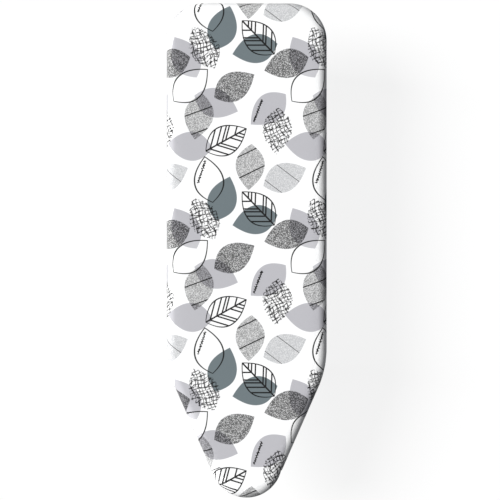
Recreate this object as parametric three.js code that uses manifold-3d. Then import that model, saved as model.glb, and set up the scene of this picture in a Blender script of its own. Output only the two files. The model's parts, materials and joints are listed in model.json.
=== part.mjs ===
// Folding tabletop sleeve ironing board: a padded, cloth-covered board on two folding tube legs.
// Millimetres, +Z up. The long axis is Y, with the square heel at +Y and the tapered nose at -Y.
// The origin is on the table, under the middle of the board. The legs are modelled opened out.
import * as THREE from "three";
import { mergeVertices } from "three/addons/utils/BufferGeometryUtils.js";
import Module from "manifold-3d";

const wasm = await Module();
wasm.setup();

// ---- Driving dimensions -------------------------------------------------------------------
// Covered board, seen from above
const boardLength = 600;
const boardWidth = 194;
const heelCornerRadius = 45;
const kneeRadius = 120; // soft turn from the straight side into the taper
const noseRadius = 43;
const straightLength = 418; // heel to the start of the knee
const boardTop = 150; // ironing surface above the table

// Layers, from the top down
const clothThickness = 0.8;
const foamThickness = 5;
const feltThickness = 2;
const sheetThickness = 1;
const frameTubeDiameter = 10;
const gap = 0.3; // between surfaces that touch

// Edge of the cover
const edgeRadius = 11; // rounding of the top edge
const underEdgeRadius = 10; // rounding of the lower edge
const hemWidth = 22; // from the outline to the hem under the board
const bindingDiameter = 3.2; // gathered tape with elastic inside
const bindingToRail = 0.5; // the rails pass just above the binding
const frameTubeInset = 6; // outline to the tube's outer side
const sheetInset = 5;
const feltInset = 5.6;

// Frame joint: the nose tube's ends are drawn down and pushed into the heel tube's
const spigotDiameter = 7;
const spigotLength = 20;

// Perforated sheet
const holeAcrossFlats = 12;
const holePitch = 22;
const holeMargin = 24; // outline to the nearest hole's edge
const railMargin = 3; // rail edge to the nearest hole's edge

// Cross rails
const railWidth = 16;
const railDepth = 7.4;
const railWall = 1.2;

// Legs
const legTubeDiameter = 10;
const legFlare = 10; // each side, from the hinge to the foot bar
const legBendRadius = 14;
const legSplayDegrees = 15; // from the vertical, outwards
const rearPivotFromHeel = 105;
const foldedBarSpacing = 53; // between the two foot bars when both legs are folded
const foldedFootClearance = 0.8; // folded feet to the sheet above them
const pivotBelowRail = 0.6; // at least
const lugThickness = 6;
const lugWall = 3.7; // metal round the pin's hole
const lugLength = 20;
const lugOverlap = 4; // tube inside its flattened end
const lugTaper = 5; // where the flattened end narrows to the tube
const lugTaperBelow = 2; // of that taper, the share below the flattened end
const legShoulder = 6; // straight tube below the flattened end
const pinDiameter = 5;
const pinClearance = 0.3; // all round a pin
const pinHeadOverhang = 2;
const pinHeadHeight = 1.6;

// Hinge brackets
const bracketPlate = 2;
const bracketSideGap = 0.6;
const bracketWidth = 38;
const bracketBackGap = 0.5; // back plate to the leg's round end
const earWall = 5.2; // metal round the pin's hole
const stopLength = 13;
const stopAbovePivot = 1.5;
const bracketHemClearance = 1.6;

// Feet
const footSpacing = 31.8; // between the inner ends of a leg's two feet
const footWall = 2.15;
const footSole = 2.65; // rubber under the bar
const footBaseWidth = 11;
const footFromBend = 2.5; // foot's outer end to the start of the bend
const footShoulderDegrees = 30; // below the bar's axis, where the foot's round begins
const boreClearance = 0.35;

// Storage clip that holds both folded legs
const clipWidth = 22;
const clipPlate = 1.8;
const clipProng = 2.2;
const clipProngDrop = 11;
const clipTipWidth = 1.3;
const clipLeadIn = 2; // sloped mouth that lets the bar in

// Hanging bail
const bailWireDiameter = 4;
const bailHalfWidth = 24;
const bailReach = 70;
const bailBendRadius = 5;
const bailOverhang = 1; // wire past each side of its clip
const bailHemClearance = 2.4; // wire to the hem above it
const heelRailFromHeel = 38;
const bailClipWidth = 9;
const bailClipWall = 1.8;
const bailRivetFromAxis = 7.6;
const bailClipMargin = 0.4; // rivet head to the end of the clip's flange

// Rivets
const rivetShankDiameter = 3;
const rivetHeadOverhang = 1.7;
const rivetHeadHeight = 1.6;
const rivetTailOverhang = 0.9;
const rivetTailHeight = 1;
const rivetFromBracketEnd = 4.5;

// Rounding and cutting
const domeShoulder = { across: 0.7, up: 0.75 }; // corner of a domed head, as shares of it
const arcStep = THREE.MathUtils.degToRad(11);
const edgeSteps = 4; // facets of each rounded edge
const past = 1; // how far a cutting body runs past what it cuts

// ---- Heights worked out from the layers ---------------------------------------------------
const frameInset = frameTubeInset + frameTubeDiameter / 2; // outline to the tube's centreline
const clothUnderTop = boardTop - clothThickness;
const foamTop = clothUnderTop - gap;
const foamBottom = foamTop - foamThickness;
const feltTop = foamBottom - gap;
const feltBottom = feltTop - feltThickness;
const sheetTop = feltBottom - gap;
const sheetBottom = sheetTop - sheetThickness;
const frameTop = sheetBottom - gap;
const frameBottom = frameTop - frameTubeDiameter;
const railTop = frameTop;
const railBottom = railTop - railDepth;
const clothBottom = Math.min(
  frameBottom - gap - clothThickness,
  railBottom - bindingToRail - bindingDiameter,
);
const clothInnerBottom = clothBottom + clothThickness;

// ---- Pins, feet and legs ------------------------------------------------------------------
const pinHole = pinDiameter / 2 + pinClearance; // radius
const pinHeadRadius = pinDiameter / 2 + pinHeadOverhang;
const rivetHeadRadius = rivetShankDiameter / 2 + rivetHeadOverhang;
const rivetTailRadius = rivetShankDiameter / 2 + rivetTailOverhang;
const lugRadius = pinHole + lugWall;
const earRadius = pinHole + earWall;
const bracketToPivot = lugRadius + bracketBackGap; // back plate to the pivot axis
const legBack = Math.max(lugRadius, legTubeDiameter / 2); // pivot axis to the back of the leg
const footBore = legTubeDiameter / 2 + boreClearance; // radius
const footRadius = footBore + footWall;
const footHeight = footBore + footSole; // leg bar axis above the table
const pivotZ = Math.min(
  sheetBottom - foldedFootClearance - footRadius,
  railBottom - pivotBelowRail,
);
const legSplay = THREE.MathUtils.degToRad(legSplayDegrees);
const legReach = (pivotZ - footHeight) / Math.cos(legSplay);

// ---- Places along the board ---------------------------------------------------------------
// The bail turns in two clips, each a loop round the wire with one flange on the heel rail
const heelRailY = boardLength / 2 - heelRailFromHeel;
const bailClipHold = bailWireDiameter / 2 + pinClearance;
const bailClipLoop = bailClipHold + bailClipWall;
const bailClipReach = bailRivetFromAxis + rivetHeadRadius + bailClipMargin;
const bailY = heelRailY - (bailClipReach - bailClipLoop) / 2;
const bailZ = clothBottom - bailHemClearance - bailWireDiameter / 2;

// The legs fold towards each other, so their pivots stand two legs and the spacing apart
const rearPivotY = boardLength / 2 - rearPivotFromHeel;
const frontPivotY = rearPivotY - 2 * legReach - foldedBarSpacing;

// Rails: the two that carry the hinges stand just outboard of the pivots
const pivotToRail = bracketToPivot + bracketPlate + gap + railWidth / 2;
const rails = {
  nose_rail: (frontPivotY - pivotToRail - boardLength / 2) / 2,
  front_rail: frontPivotY - pivotToRail,
  middle_rail: (frontPivotY + rearPivotY) / 2,
  rear_rail: rearPivotY + pivotToRail,
  heel_rail: heelRailY,
};

const frameJointY = (rails.front_rail + rails.middle_rail) / 2;

// The bail's ends turn outwards through the clips
const bailClipX = bailHalfWidth + bailBendRadius + bailOverhang + bailClipWidth / 2;
const bailEndX = bailClipX + bailClipWidth / 2 + bailOverhang;

// ---- Materials ----------------------------------------------------------------------------
const finish = (color, roughness, metalness) =>
  new THREE.MeshStandardMaterial({ color, roughness, metalness });
const printedCotton = finish(0xf4f4f4, 0.9, 0);
const bindingTape = finish(0xe9e9ea, 0.9, 0);
const foam = finish(0xe8dfc8, 0.95, 0);
const felt = finish(0xc9c9c6, 1, 0);
const powderCoat = finish(0xe4e6e8, 0.45, 0.1);
const zincSteel = finish(0xb4b7ba, 0.35, 0.9);
const greyRubber = finish(0x50555a, 0.8, 0);
const greyPlastic = finish(0x6d7479, 0.5, 0);

// ---- Helpers ------------------------------------------------------------------------------
const board = new THREE.Group();

function solidOf(geometry) {
  const bare = geometry.index ? geometry.toNonIndexed() : geometry.clone();
  for (const name of Object.keys(bare.attributes)) {
    if (name !== "position") bare.deleteAttribute(name);
  }
  const merged = mergeVertices(bare, 1e-4);
  return new wasm.Manifold(
    new wasm.Mesh({
      numProp: 3,
      vertProperties: merged.attributes.position.array,
      triVerts: new Uint32Array(merged.index.array),
    }),
  );
}

function geometryOf(solid) {
  const m = solid.getMesh();
  const vertices = new Float32Array(m.numVert * 3);
  for (let i = 0; i < m.numVert; i++) {
    vertices.set(m.vertProperties.subarray(i * m.numProp, i * m.numProp + 3), i * 3);
  }
  const geometry = new THREE.BufferGeometry();
  geometry.setAttribute("position", new THREE.BufferAttribute(vertices, 3));
  geometry.setIndex(new THREE.BufferAttribute(m.triVerts, 1));
  geometry.computeVertexNormals();
  return geometry;
}

function addPiece(name, geometry, material, parent = board) {
  const piece = new THREE.Mesh(geometry, material);
  piece.name = name;
  parent.add(piece);
  return piece;
}

const box = (sx, sy, sz, x, y, z) => new THREE.BoxGeometry(sx, sy, sz).translate(x, y, z);

// A box between two corners.
function boxBetween(x0, x1, y0, y1, z0, z1) {
  return box(x1 - x0, y1 - y0, z1 - z0, (x0 + x1) / 2, (y0 + y1) / 2, (z0 + z1) / 2);
}

// A shape drawn in (y, z) and pushed along X from x0 to x1.
function alongX(shape, x0, x1, curveSegments = 8) {
  const turn = new THREE.Matrix4().makeBasis(
    new THREE.Vector3(0, 1, 0),
    new THREE.Vector3(0, 0, 1),
    new THREE.Vector3(1, 0, 0),
  );
  return new THREE.ExtrudeGeometry(shape, { depth: x1 - x0, bevelEnabled: false, curveSegments })
    .applyMatrix4(turn)
    .translate(x0, 0, 0);
}

const rodAlongX = (radius, x0, x1, y, z, sides = 16) =>
  new THREE.CylinderGeometry(radius, radius, x1 - x0, sides)
    .rotateZ(Math.PI / 2)
    .translate((x0 + x1) / 2, y, z);

// ---- Board outline ------------------------------------------------------------------------
const kneeCentre = { x: boardWidth / 2 - kneeRadius, y: boardLength / 2 - straightLength };
const noseCentreY = -boardLength / 2 + noseRadius;
const heelCentre = {
  x: boardWidth / 2 - heelCornerRadius,
  y: boardLength / 2 - heelCornerRadius,
};

// Angle of the taper, so that its line touches both the knee's and the nose's circle.
const kneeToNose = kneeCentre.y - noseCentreY;
const taperAngle =
  Math.asin((kneeRadius - noseRadius) / Math.hypot(kneeToNose, kneeCentre.x)) -
  Math.atan2(-kneeCentre.x, kneeToNose);

// Every corner is round and turns outwards, so an inset keeps the centres and shrinks the radii.
const outlineArcs = [
  { ...heelCentre, radius: heelCornerRadius, from: 0, to: Math.PI / 2 },
  { ...heelCentre, x: -heelCentre.x, radius: heelCornerRadius, from: Math.PI / 2, to: Math.PI },
  { ...kneeCentre, x: -kneeCentre.x, radius: kneeRadius, from: Math.PI, to: Math.PI + taperAngle },
  {
    x: 0,
    y: noseCentreY,
    radius: noseRadius,
    from: Math.PI + taperAngle,
    to: 2 * Math.PI - taperAngle,
  },
  { ...kneeCentre, radius: kneeRadius, from: -taperAngle, to: 0 },
];

function traceOutline(path, inset) {
  const points = outlineArcs.flatMap(({ x, y, radius, from, to }) => {
    const steps = Math.round((to - from) / arcStep);
    return Array.from({ length: steps + 1 }, (_, i) => {
      const angle = from + ((to - from) * i) / steps;
      return new THREE.Vector2(
        x + (radius - inset) * Math.cos(angle),
        y + (radius - inset) * Math.sin(angle),
      );
    });
  });
  return path.setFromPoints(points).closePath();
}

// Half the board's width at y, at a given inset.
function halfWidthAt(y, inset) {
  const across = (radius, centreX, centreY) => {
    const r = radius - inset;
    const dy = y - centreY;
    return Math.abs(dy) < r ? centreX + Math.sqrt(r * r - dy * dy) : 0;
  };
  if (y > heelCentre.y) return across(heelCornerRadius, heelCentre.x, heelCentre.y);
  if (y > kneeCentre.y) return boardWidth / 2 - inset;
  const sine = Math.sin(taperAngle);
  if (y > kneeCentre.y - (kneeRadius - inset) * sine) {
    return across(kneeRadius, kneeCentre.x, kneeCentre.y);
  }
  if (y > noseCentreY - (noseRadius - inset) * sine) {
    return (noseRadius - inset + (y - noseCentreY) * sine) / Math.cos(taperAngle);
  }
  return across(noseRadius, 0, noseCentreY);
}

// A slab with the board's outline, between two heights.
function slab(inset, z0, z1, holes = []) {
  const shape = traceOutline(new THREE.Shape(), inset);
  shape.holes = holes;
  return new THREE.ExtrudeGeometry(shape, {
    depth: z1 - z0,
    bevelEnabled: false,
  }).translate(0, 0, z0);
}

// A slab whose side is a pillow: round at the top edge and at the bottom edge.
function pillow(inset, z0, z1, upperRadius, lowerRadius) {
  const rounded = (radius, from, to) =>
    solidOf(
      new THREE.ExtrudeGeometry(traceOutline(new THREE.Shape(), inset + radius), {
        depth: to - from - 2 * radius,
        bevelEnabled: true,
        bevelSize: radius,
        bevelThickness: radius,
        bevelSegments: edgeSteps,
      }).translate(0, 0, from + radius),
    );
  const overlap = Math.min(upperRadius, lowerRadius) / 2;
  const middle = z1 - upperRadius;
  const upper = rounded(upperRadius, middle - upperRadius - 2 * overlap, z1);
  const lower = rounded(lowerRadius, z0, middle + lowerRadius + 2 * overlap);
  const upperHalf = upper.intersect(solidOf(slab(inset - past, middle, z1 + past)));
  const lowerHalf = lower.intersect(solidOf(slab(inset - past, z0 - past, middle)));
  return upperHalf.add(lowerHalf);
}

// ---- Soft layers --------------------------------------------------------------------------
function makeCover() {
  const outside = pillow(0, clothBottom, boardTop, edgeRadius, underEdgeRadius);
  const inside = pillow(
    clothThickness,
    clothInnerBottom,
    clothUnderTop,
    edgeRadius - clothThickness,
    underEdgeRadius - clothThickness,
  );
  const opening = solidOf(slab(hemWidth, clothBottom - past, clothInnerBottom + past));
  return geometryOf(outside.subtract(inside).subtract(opening));
}

function makeFoam() {
  const inset = clothThickness + gap;
  const radius = edgeRadius - clothThickness - gap;
  const full = solidOf(
    new THREE.ExtrudeGeometry(traceOutline(new THREE.Shape(), inset + radius), {
      depth: 2 * radius,
      bevelEnabled: true,
      bevelSize: radius,
      bevelThickness: radius,
      bevelSegments: edgeSteps,
    }).translate(0, 0, foamTop - 3 * radius),
  );
  return geometryOf(full.intersect(solidOf(slab(inset - past, foamBottom, foamTop + past))));
}

// A closed ring of nearly round section that follows the outline.
function ringAround(inset, diameter, z, sectionSteps) {
  const core = diameter / 10; // half width of the flat left between the roundings
  const bend = diameter / 2 - core;
  const shape = traceOutline(new THREE.Shape(), inset - core);
  shape.holes = [traceOutline(new THREE.Path(), inset + core)];
  return new THREE.ExtrudeGeometry(shape, {
    depth: 2 * core,
    bevelEnabled: true,
    bevelSize: bend,
    bevelThickness: bend,
    bevelSegments: sectionSteps,
  }).translate(0, 0, z - core);
}

addPiece("cover", makeCover(), printedCotton);
addPiece(
  "elastic_binding",
  ringAround(
    hemWidth + gap + bindingDiameter / 2,
    bindingDiameter,
    clothBottom + bindingDiameter / 2,
    1,
  ),
  bindingTape,
);
addPiece("foam_pad", makeFoam(), foam);
addPiece("felt_underlay", slab(feltInset, feltBottom, feltTop), felt);

// ---- Perforated sheet ---------------------------------------------------------------------
function hexagonHole(x, y) {
  const corner = holeAcrossFlats / Math.sqrt(3);
  const hole = new THREE.Path();
  for (let i = 0; i < 6; i++) {
    const angle = (i * Math.PI) / 3;
    const px = x + corner * Math.cos(angle);
    const py = y + corner * Math.sin(angle);
    if (i) hole.lineTo(px, py);
    else hole.moveTo(px, py);
  }
  return hole.closePath();
}

function makeSheet() {
  const holes = [];
  const rowStep = (holePitch * Math.sqrt(3)) / 2;
  const reach = holeAcrossFlats / Math.sqrt(3);
  const rows = Math.floor(boardWidth / 2 / rowStep);
  const places = Math.floor(boardLength / 2 / holePitch) + 1;
  for (let row = -rows; row <= rows; row++) {
    for (let place = -places; place <= places; place++) {
      const x = row * rowStep;
      const y = (place + (row % 2 ? 0.5 : 0)) * holePitch;
      const clearOfRails = Object.values(rails).every(
        (railY) => Math.abs(y - railY) > railWidth / 2 + railMargin + reach,
      );
      const clearOfEdge = [y - reach, y, y + reach].every(
        (at) => Math.abs(at) < boardLength / 2 && halfWidthAt(at, holeMargin) > Math.abs(x) + reach,
      );
      if (clearOfRails && clearOfEdge) holes.push(hexagonHole(x, y));
    }
  }
  return slab(sheetInset, sheetBottom, sheetTop, holes);
}

addPiece("perforated_sheet", makeSheet(), powderCoat);

// ---- Frame tubes --------------------------------------------------------------------------
// Rods along Y on the centrelines of both straight sides, from y0 to y1.
function sideRods(radius, y0, y1) {
  const rod = (sign) =>
    solidOf(
      new THREE.CylinderGeometry(radius, radius, y1 - y0, 16).translate(
        sign * (boardWidth / 2 - frameInset),
        (y0 + y1) / 2,
        frameTop - frameTubeDiameter / 2,
      ),
    );
  return rod(-1).add(rod(1));
}

function makeFrameTubes() {
  const z = frameTop - frameTubeDiameter / 2;
  const ring = solidOf(ringAround(frameInset, frameTubeDiameter, z, 2));
  const halfBeyond = (y0, y1) =>
    solidOf(boxBetween(-boardWidth, boardWidth, y0, y1, frameBottom - past, frameTop + past));
  const spigots = sideRods(spigotDiameter / 2, frameJointY - past, frameJointY + spigotLength);
  const bores = sideRods(
    spigotDiameter / 2 + gap,
    frameJointY,
    frameJointY + spigotLength + gap,
  );
  return {
    nose: geometryOf(ring.intersect(halfBeyond(-boardLength, frameJointY)).add(spigots)),
    heel: geometryOf(
      ring.intersect(halfBeyond(frameJointY + gap, boardLength)).subtract(bores),
    ),
  };
}

for (const [end, geometry] of Object.entries(makeFrameTubes())) {
  addPiece(`${end}_frame_tube`, geometry, powderCoat);
}

// ---- Rivets -------------------------------------------------------------------------------
// Turns a profile of [radius, height] pairs about Z.
const turned = (profile, sides) =>
  new THREE.LatheGeometry(
    profile.map(([r, z]) => new THREE.Vector2(r, z)),
    sides,
  ).rotateX(Math.PI / 2);

// From the rim of a domed head, standing on z = base, to the top of its dome.
const dome = (radius, base, height) => [
  [radius, base],
  [radius * domeShoulder.across, base + height * domeShoulder.up],
  [0, base + height],
];

// Head at the origin, shank along -Z through the given grip, formed tail at its far end.
function rivet(grip) {
  const shank = rivetShankDiameter / 2;
  const tail = rivetTailRadius;
  return turned(
    [
      [0, -grip - gap - rivetTailHeight],
      [tail, -grip - gap - rivetTailHeight],
      [tail, -grip - gap],
      [shank, -grip - gap],
      [shank, gap],
      ...dome(rivetHeadRadius, gap, rivetHeadHeight),
    ],
    10,
  );
}

// A cutter along Z, centred on the origin, for a rivet's hole through a wall.
const rivetHole = (wall) =>
  new THREE.CylinderGeometry(
    rivetShankDiameter / 2 + pinClearance,
    rivetShankDiameter / 2 + pinClearance,
    6 * wall,
    10,
  ).rotateX(Math.PI / 2);

// ---- Cross rails --------------------------------------------------------------------------
const bracketRivetX = bracketWidth / 2 - rivetFromBracketEnd;
const rivetZ = (railTop + railBottom) / 2;

// A channel that opens upwards, with its ends cut to the frame tube.
function makeRail(y, cuts) {
  const half = railWidth / 2;
  const outer = boxBetween(-boardWidth, boardWidth, y - half, y + half, railBottom, railTop);
  const inner = boxBetween(
    -boardWidth - past,
    boardWidth + past,
    y - half + railWall,
    y + half - railWall,
    railBottom + railWall,
    railTop + past,
  );
  const reach = frameInset + frameTubeDiameter / 2 + gap;
  let rail = solidOf(outer)
    .subtract(solidOf(inner))
    .intersect(solidOf(slab(reach, railBottom - past, railTop + past)));
  for (const cut of cuts) rail = rail.subtract(solidOf(cut));
  return geometryOf(rail);
}

// ---- Legs and their hinges ----------------------------------------------------------------
// side is -1 for the front leg, which leans towards the nose, and +1 for the rear leg.
const ends = { front: { side: -1, pivotY: frontPivotY }, rear: { side: 1, pivotY: rearPivotY } };
const hands = { left: -1, right: 1 };

// The bracket at the leg's own x = 0, with the pivot on the X axis and outboard at -Y.
function makeBracket() {
  const back = -bracketToPivot;
  const top = railTop - pivotZ;
  const bottom = railBottom - pivotZ;
  const innerFace = lugThickness / 2 + bracketSideGap;
  const flange = boxBetween(
    -bracketWidth / 2,
    bracketWidth / 2,
    back - bracketPlate,
    back,
    bottom,
    top,
  );
  const ear = new THREE.Shape();
  ear.moveTo(back - bracketPlate / 2, top);
  ear.lineTo(back - bracketPlate / 2, 0);
  ear.absarc(0, 0, earRadius, Math.PI, 2 * Math.PI, false);
  ear.lineTo(earRadius, top);
  ear.closePath();
  ear.holes = [new THREE.Path().absarc(0, 0, pinHole, 0, 2 * Math.PI, false)];

  // Lip behind the leg that stops it at its splay
  const lip = boxBetween(
    -innerFace - bracketPlate,
    innerFace + bracketPlate,
    -legBack - gap - bracketPlate,
    -legBack - gap,
    -stopLength,
    stopAbovePivot,
  ).rotateX(-legSplay);

  let bracket = solidOf(flange).add(solidOf(lip));
  for (const x of [-innerFace - bracketPlate, innerFace]) {
    bracket = bracket.add(solidOf(alongX(ear, x, x + bracketPlate)));
  }
  for (const x of [-bracketRivetX, bracketRivetX]) {
    const hole = rivetHole(bracketPlate).rotateX(Math.PI / 2);
    bracket = bracket.subtract(solidOf(hole.translate(x, back, rivetZ - pivotZ)));
  }
  return geometryOf(bracket);
}

// Pin along X with a domed head at each end, centred on the hinge.
function makePin() {
  const grip = lugThickness / 2 + bracketSideGap + bracketPlate + gap;
  const shankEnd = [pinDiameter / 2, grip];
  const half = [shankEnd, ...dome(pinHeadRadius, grip, pinHeadHeight)];
  const otherHalf = half.map(([r, z]) => [r, -z]).reverse();
  return turned([...otherHalf, ...half], 12).rotateY(Math.PI / 2);
}

// The centreline of a bent rod: one step along each straight and several round each bend.
class RodLine extends THREE.Curve {
  constructor(corners, bendRadius, bendSteps = 6) {
    super();
    this.points = [corners[0]];
    this.tangents = [corners[1].clone().sub(corners[0]).normalize()];
    for (let i = 1; i < corners.length - 1; i++) {
      const into = corners[i].clone().sub(corners[i - 1]).normalize();
      const out = corners[i + 1].clone().sub(corners[i]).normalize();
      const turn = into.angleTo(out);
      const inward = out.clone().sub(into).normalize();
      const centre = corners[i].clone().addScaledVector(inward, bendRadius / Math.cos(turn / 2));
      const axis = into.clone().cross(out).normalize();
      const first = corners[i]
        .clone()
        .addScaledVector(into, -bendRadius * Math.tan(turn / 2))
        .sub(centre);
      for (let step = 0; step <= bendSteps; step++) {
        const angle = (turn * step) / bendSteps;
        this.points.push(first.clone().applyAxisAngle(axis, angle).add(centre));
        this.tangents.push(into.clone().applyAxisAngle(axis, angle));
      }
    }
    this.points.push(corners[corners.length - 1]);
    this.tangents.push(this.tangents[this.tangents.length - 1].clone());
  }
  get steps() {
    return this.points.length - 1;
  }
  getPointAt(u, target = new THREE.Vector3()) {
    return target.copy(this.points[Math.round(u * this.steps)]);
  }
  getTangentAt(u, target = new THREE.Vector3()) {
    return target.copy(this.tangents[Math.round(u * this.steps)]);
  }
}

function rodAlong(line, diameter, sides) {
  const section = new THREE.Shape();
  for (let i = 0; i < sides; i++) {
    const angle = (2 * Math.PI * i) / sides;
    const x = (diameter / 2) * Math.cos(angle);
    const y = (diameter / 2) * Math.sin(angle);
    if (i) section.lineTo(x, y);
    else section.moveTo(x, y);
  }
  section.closePath();
  return new THREE.ExtrudeGeometry(section, {
    extrudePath: line,
    steps: line.steps,
    bevelEnabled: false,
  });
}

// The hinges stand as far apart as the hem lets their brackets
const hemReach = hemWidth + gap + bindingDiameter;
const legHalfWidthTop =
  halfWidthAt(rails.front_rail, hemReach) - bracketWidth / 2 - bracketHemClearance;
const legHalfWidthFoot = legHalfWidthTop + legFlare;

// The two feet fill the straight bar between its bends, apart from the space between them
const legLean = Math.atan2(legFlare, legReach - lugLength - legShoulder);
const legBendCut = legBendRadius * Math.tan(Math.PI / 4 + legLean / 2);
const footEnd = legHalfWidthFoot - legBendCut - footFromBend;
const footLength = footEnd - footSpacing / 2;
const footX = footEnd - footLength / 2;

// The leg in its own frame: pivot on the X axis, foot bar at z = -legReach.
function makeLeg() {
  const shoulder = -lugLength;
  const at = (x, z) => new THREE.Vector3(x, 0, z);
  const line = new RodLine(
    [
      at(-legHalfWidthTop, shoulder + lugOverlap),
      at(-legHalfWidthTop, shoulder - legShoulder),
      at(-legHalfWidthFoot, -legReach),
      at(legHalfWidthFoot, -legReach),
      at(legHalfWidthTop, shoulder - legShoulder),
      at(legHalfWidthTop, shoulder + lugOverlap),
    ],
    legBendRadius,
  );
  let leg = solidOf(rodAlong(line, legTubeDiameter, 16));
  for (const hand of Object.values(hands)) {
    const lug = new THREE.Shape();
    lug.moveTo(-lugRadius, shoulder - lugTaperBelow + lugTaper);
    lug.lineTo(-legTubeDiameter / 2, shoulder - lugTaperBelow);
    lug.lineTo(legTubeDiameter / 2, shoulder - lugTaperBelow);
    lug.lineTo(lugRadius, shoulder - lugTaperBelow + lugTaper);
    lug.absarc(0, 0, lugRadius, 0, Math.PI, false);
    lug.closePath();
    const x = hand * legHalfWidthTop;
    const lugSolid = solidOf(alongX(lug, x - lugThickness / 2, x + lugThickness / 2));
    const hole = rodAlongX(pinHole, x - lugThickness, x + lugThickness, 0, 0);
    leg = leg.add(lugSolid).subtract(solidOf(hole));
  }
  return geometryOf(leg);
}

// Rubber foot around the bar, with a flat base that is level when the leg is open.
function makeFoot() {
  const shape = new THREE.Shape();
  const start = -THREE.MathUtils.degToRad(footShoulderDegrees);
  shape.moveTo(-footBaseWidth / 2, -footHeight);
  shape.lineTo(footBaseWidth / 2, -footHeight);
  shape.absarc(0, 0, footRadius, start, Math.PI - start, false);
  shape.closePath();
  shape.holes = [new THREE.Path().absarc(0, 0, footBore, 0, 2 * Math.PI, false)];
  return alongX(shape, -footLength / 2, footLength / 2, 16);
}

const railCuts = Object.fromEntries(Object.keys(rails).map((name) => [name, []]));

for (const [end, { side, pivotY }] of Object.entries(ends)) {
  const railFace = pivotY + side * (bracketToPivot + bracketPlate + gap);
  for (const [hand, sign] of Object.entries(hands)) {
    const x = sign * legHalfWidthTop;

    const hinge = new THREE.Group();
    hinge.position.set(x, pivotY, pivotZ);
    if (side > 0) hinge.rotation.z = Math.PI;
    board.add(hinge);
    addPiece(`${end}_${hand}_hinge_bracket`, makeBracket(), powderCoat, hinge);
    addPiece(`${end}_${hand}_pivot_pin`, makePin(), zincSteel, hinge);

    for (const [place, offset] of [["inner", -bracketRivetX], ["outer", bracketRivetX]]) {
      const rivetX = x + sign * offset;
      const piece = addPiece(
        `${end}_${hand}_${place}_rivet`,
        rivet(bracketPlate + gap + railWall),
        zincSteel,
      );
      piece.position.set(rivetX, railFace - side * (gap + bracketPlate), rivetZ);
      piece.rotation.x = side < 0 ? -Math.PI / 2 : Math.PI / 2;
      railCuts[`${end}_rail`].push(
        rivetHole(railWall)
          .rotateX(Math.PI / 2)
          .translate(rivetX, railFace, rivetZ),
      );
    }
  }

  const leg = new THREE.Group();
  leg.position.set(0, pivotY, pivotZ);
  leg.rotation.x = side * legSplay;
  board.add(leg);
  addPiece(`${end}_leg_tube`, makeLeg(), powderCoat, leg);

  const footBarY = pivotY + side * legReach * Math.sin(legSplay);
  for (const [hand, sign] of Object.entries(hands)) {
    const foot = addPiece(`${end}_${hand}_foot`, makeFoot(), greyRubber);
    foot.position.set(sign * footX, footBarY, footHeight);
  }
}

// ---- Storage clip -------------------------------------------------------------------------
// A plate on the middle rail with a fork at each end for a folded leg's foot bar.
function makeClip() {
  const mouth = footBore;
  const reach = foldedBarSpacing / 2;
  const plateTop = railBottom - gap;
  const forkRoot = pivotZ + mouth + clipPlate;
  const shape = new THREE.Shape();
  const half = reach + mouth + clipProng;
  const tip = forkRoot - clipProngDrop - clipPlate;
  shape.moveTo(-half, forkRoot);
  shape.lineTo(-half, tip);
  shape.lineTo(-half + clipTipWidth, tip);
  shape.lineTo(-reach - mouth, tip + clipLeadIn);
  shape.lineTo(-reach - mouth, pivotZ);
  shape.absarc(-reach, pivotZ, mouth, Math.PI, 0, true);
  shape.lineTo(-reach + mouth, plateTop - clipPlate);
  shape.lineTo(reach - mouth, plateTop - clipPlate);
  shape.lineTo(reach - mouth, pivotZ);
  shape.absarc(reach, pivotZ, mouth, Math.PI, 0, true);
  shape.lineTo(reach + mouth, tip + clipLeadIn);
  shape.lineTo(half - clipTipWidth, tip);
  shape.lineTo(half, tip);
  shape.lineTo(half, forkRoot);
  shape.lineTo(reach - mouth - clipProng, forkRoot);
  shape.lineTo(reach - mouth - clipProng, plateTop);
  shape.lineTo(-reach + mouth + clipProng, plateTop);
  shape.lineTo(-reach + mouth + clipProng, forkRoot);
  shape.closePath();
  const clip = alongX(shape, -clipWidth / 2, clipWidth / 2).translate(0, rails.middle_rail, 0);
  return geometryOf(solidOf(clip).subtract(solidOf(clipHole())));
}

const clipHole = () => rivetHole(clipPlate + railWall).translate(0, rails.middle_rail, railBottom);
addPiece("storage_clip", makeClip(), greyPlastic);
railCuts.middle_rail.push(clipHole());
const clipRivet = addPiece("clip_rivet", rivet(clipPlate + gap + railWall), zincSteel);
clipRivet.position.set(0, rails.middle_rail, railBottom - gap - clipPlate);
clipRivet.rotation.x = Math.PI;

// ---- Hanging bail -------------------------------------------------------------------------
function makeBail() {
  const at = (x, y) => new THREE.Vector3(x, y, 0);
  const line = new RodLine(
    [
      at(-bailEndX, 0),
      at(-bailHalfWidth, 0),
      at(-bailHalfWidth, -bailReach),
      at(bailHalfWidth, -bailReach),
      at(bailHalfWidth, 0),
      at(bailEndX, 0),
    ],
    bailBendRadius,
    4,
  );
  return rodAlong(line, bailWireDiameter, 10);
}

// A clip with its loop on the X axis and its flange along +Y, under the heel rail.
function makeBailClip() {
  const top = railBottom - gap - bailZ;
  const shape = new THREE.Shape();
  shape.moveTo(bailClipReach, top);
  shape.lineTo(-bailClipLoop, top);
  shape.absarc(0, 0, bailClipLoop, Math.PI, 2 * Math.PI, false);
  shape.lineTo(bailClipLoop, top - bailClipWall);
  shape.lineTo(bailClipReach, top - bailClipWall);
  shape.closePath();
  shape.holes = [new THREE.Path().absarc(0, 0, bailClipHold, 0, 2 * Math.PI, false)];
  const clip = alongX(shape, -bailClipWidth / 2, bailClipWidth / 2);
  const hole = rivetHole(bailClipWall).translate(0, bailRivetFromAxis, top);
  return geometryOf(solidOf(clip).subtract(solidOf(hole)));
}

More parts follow.
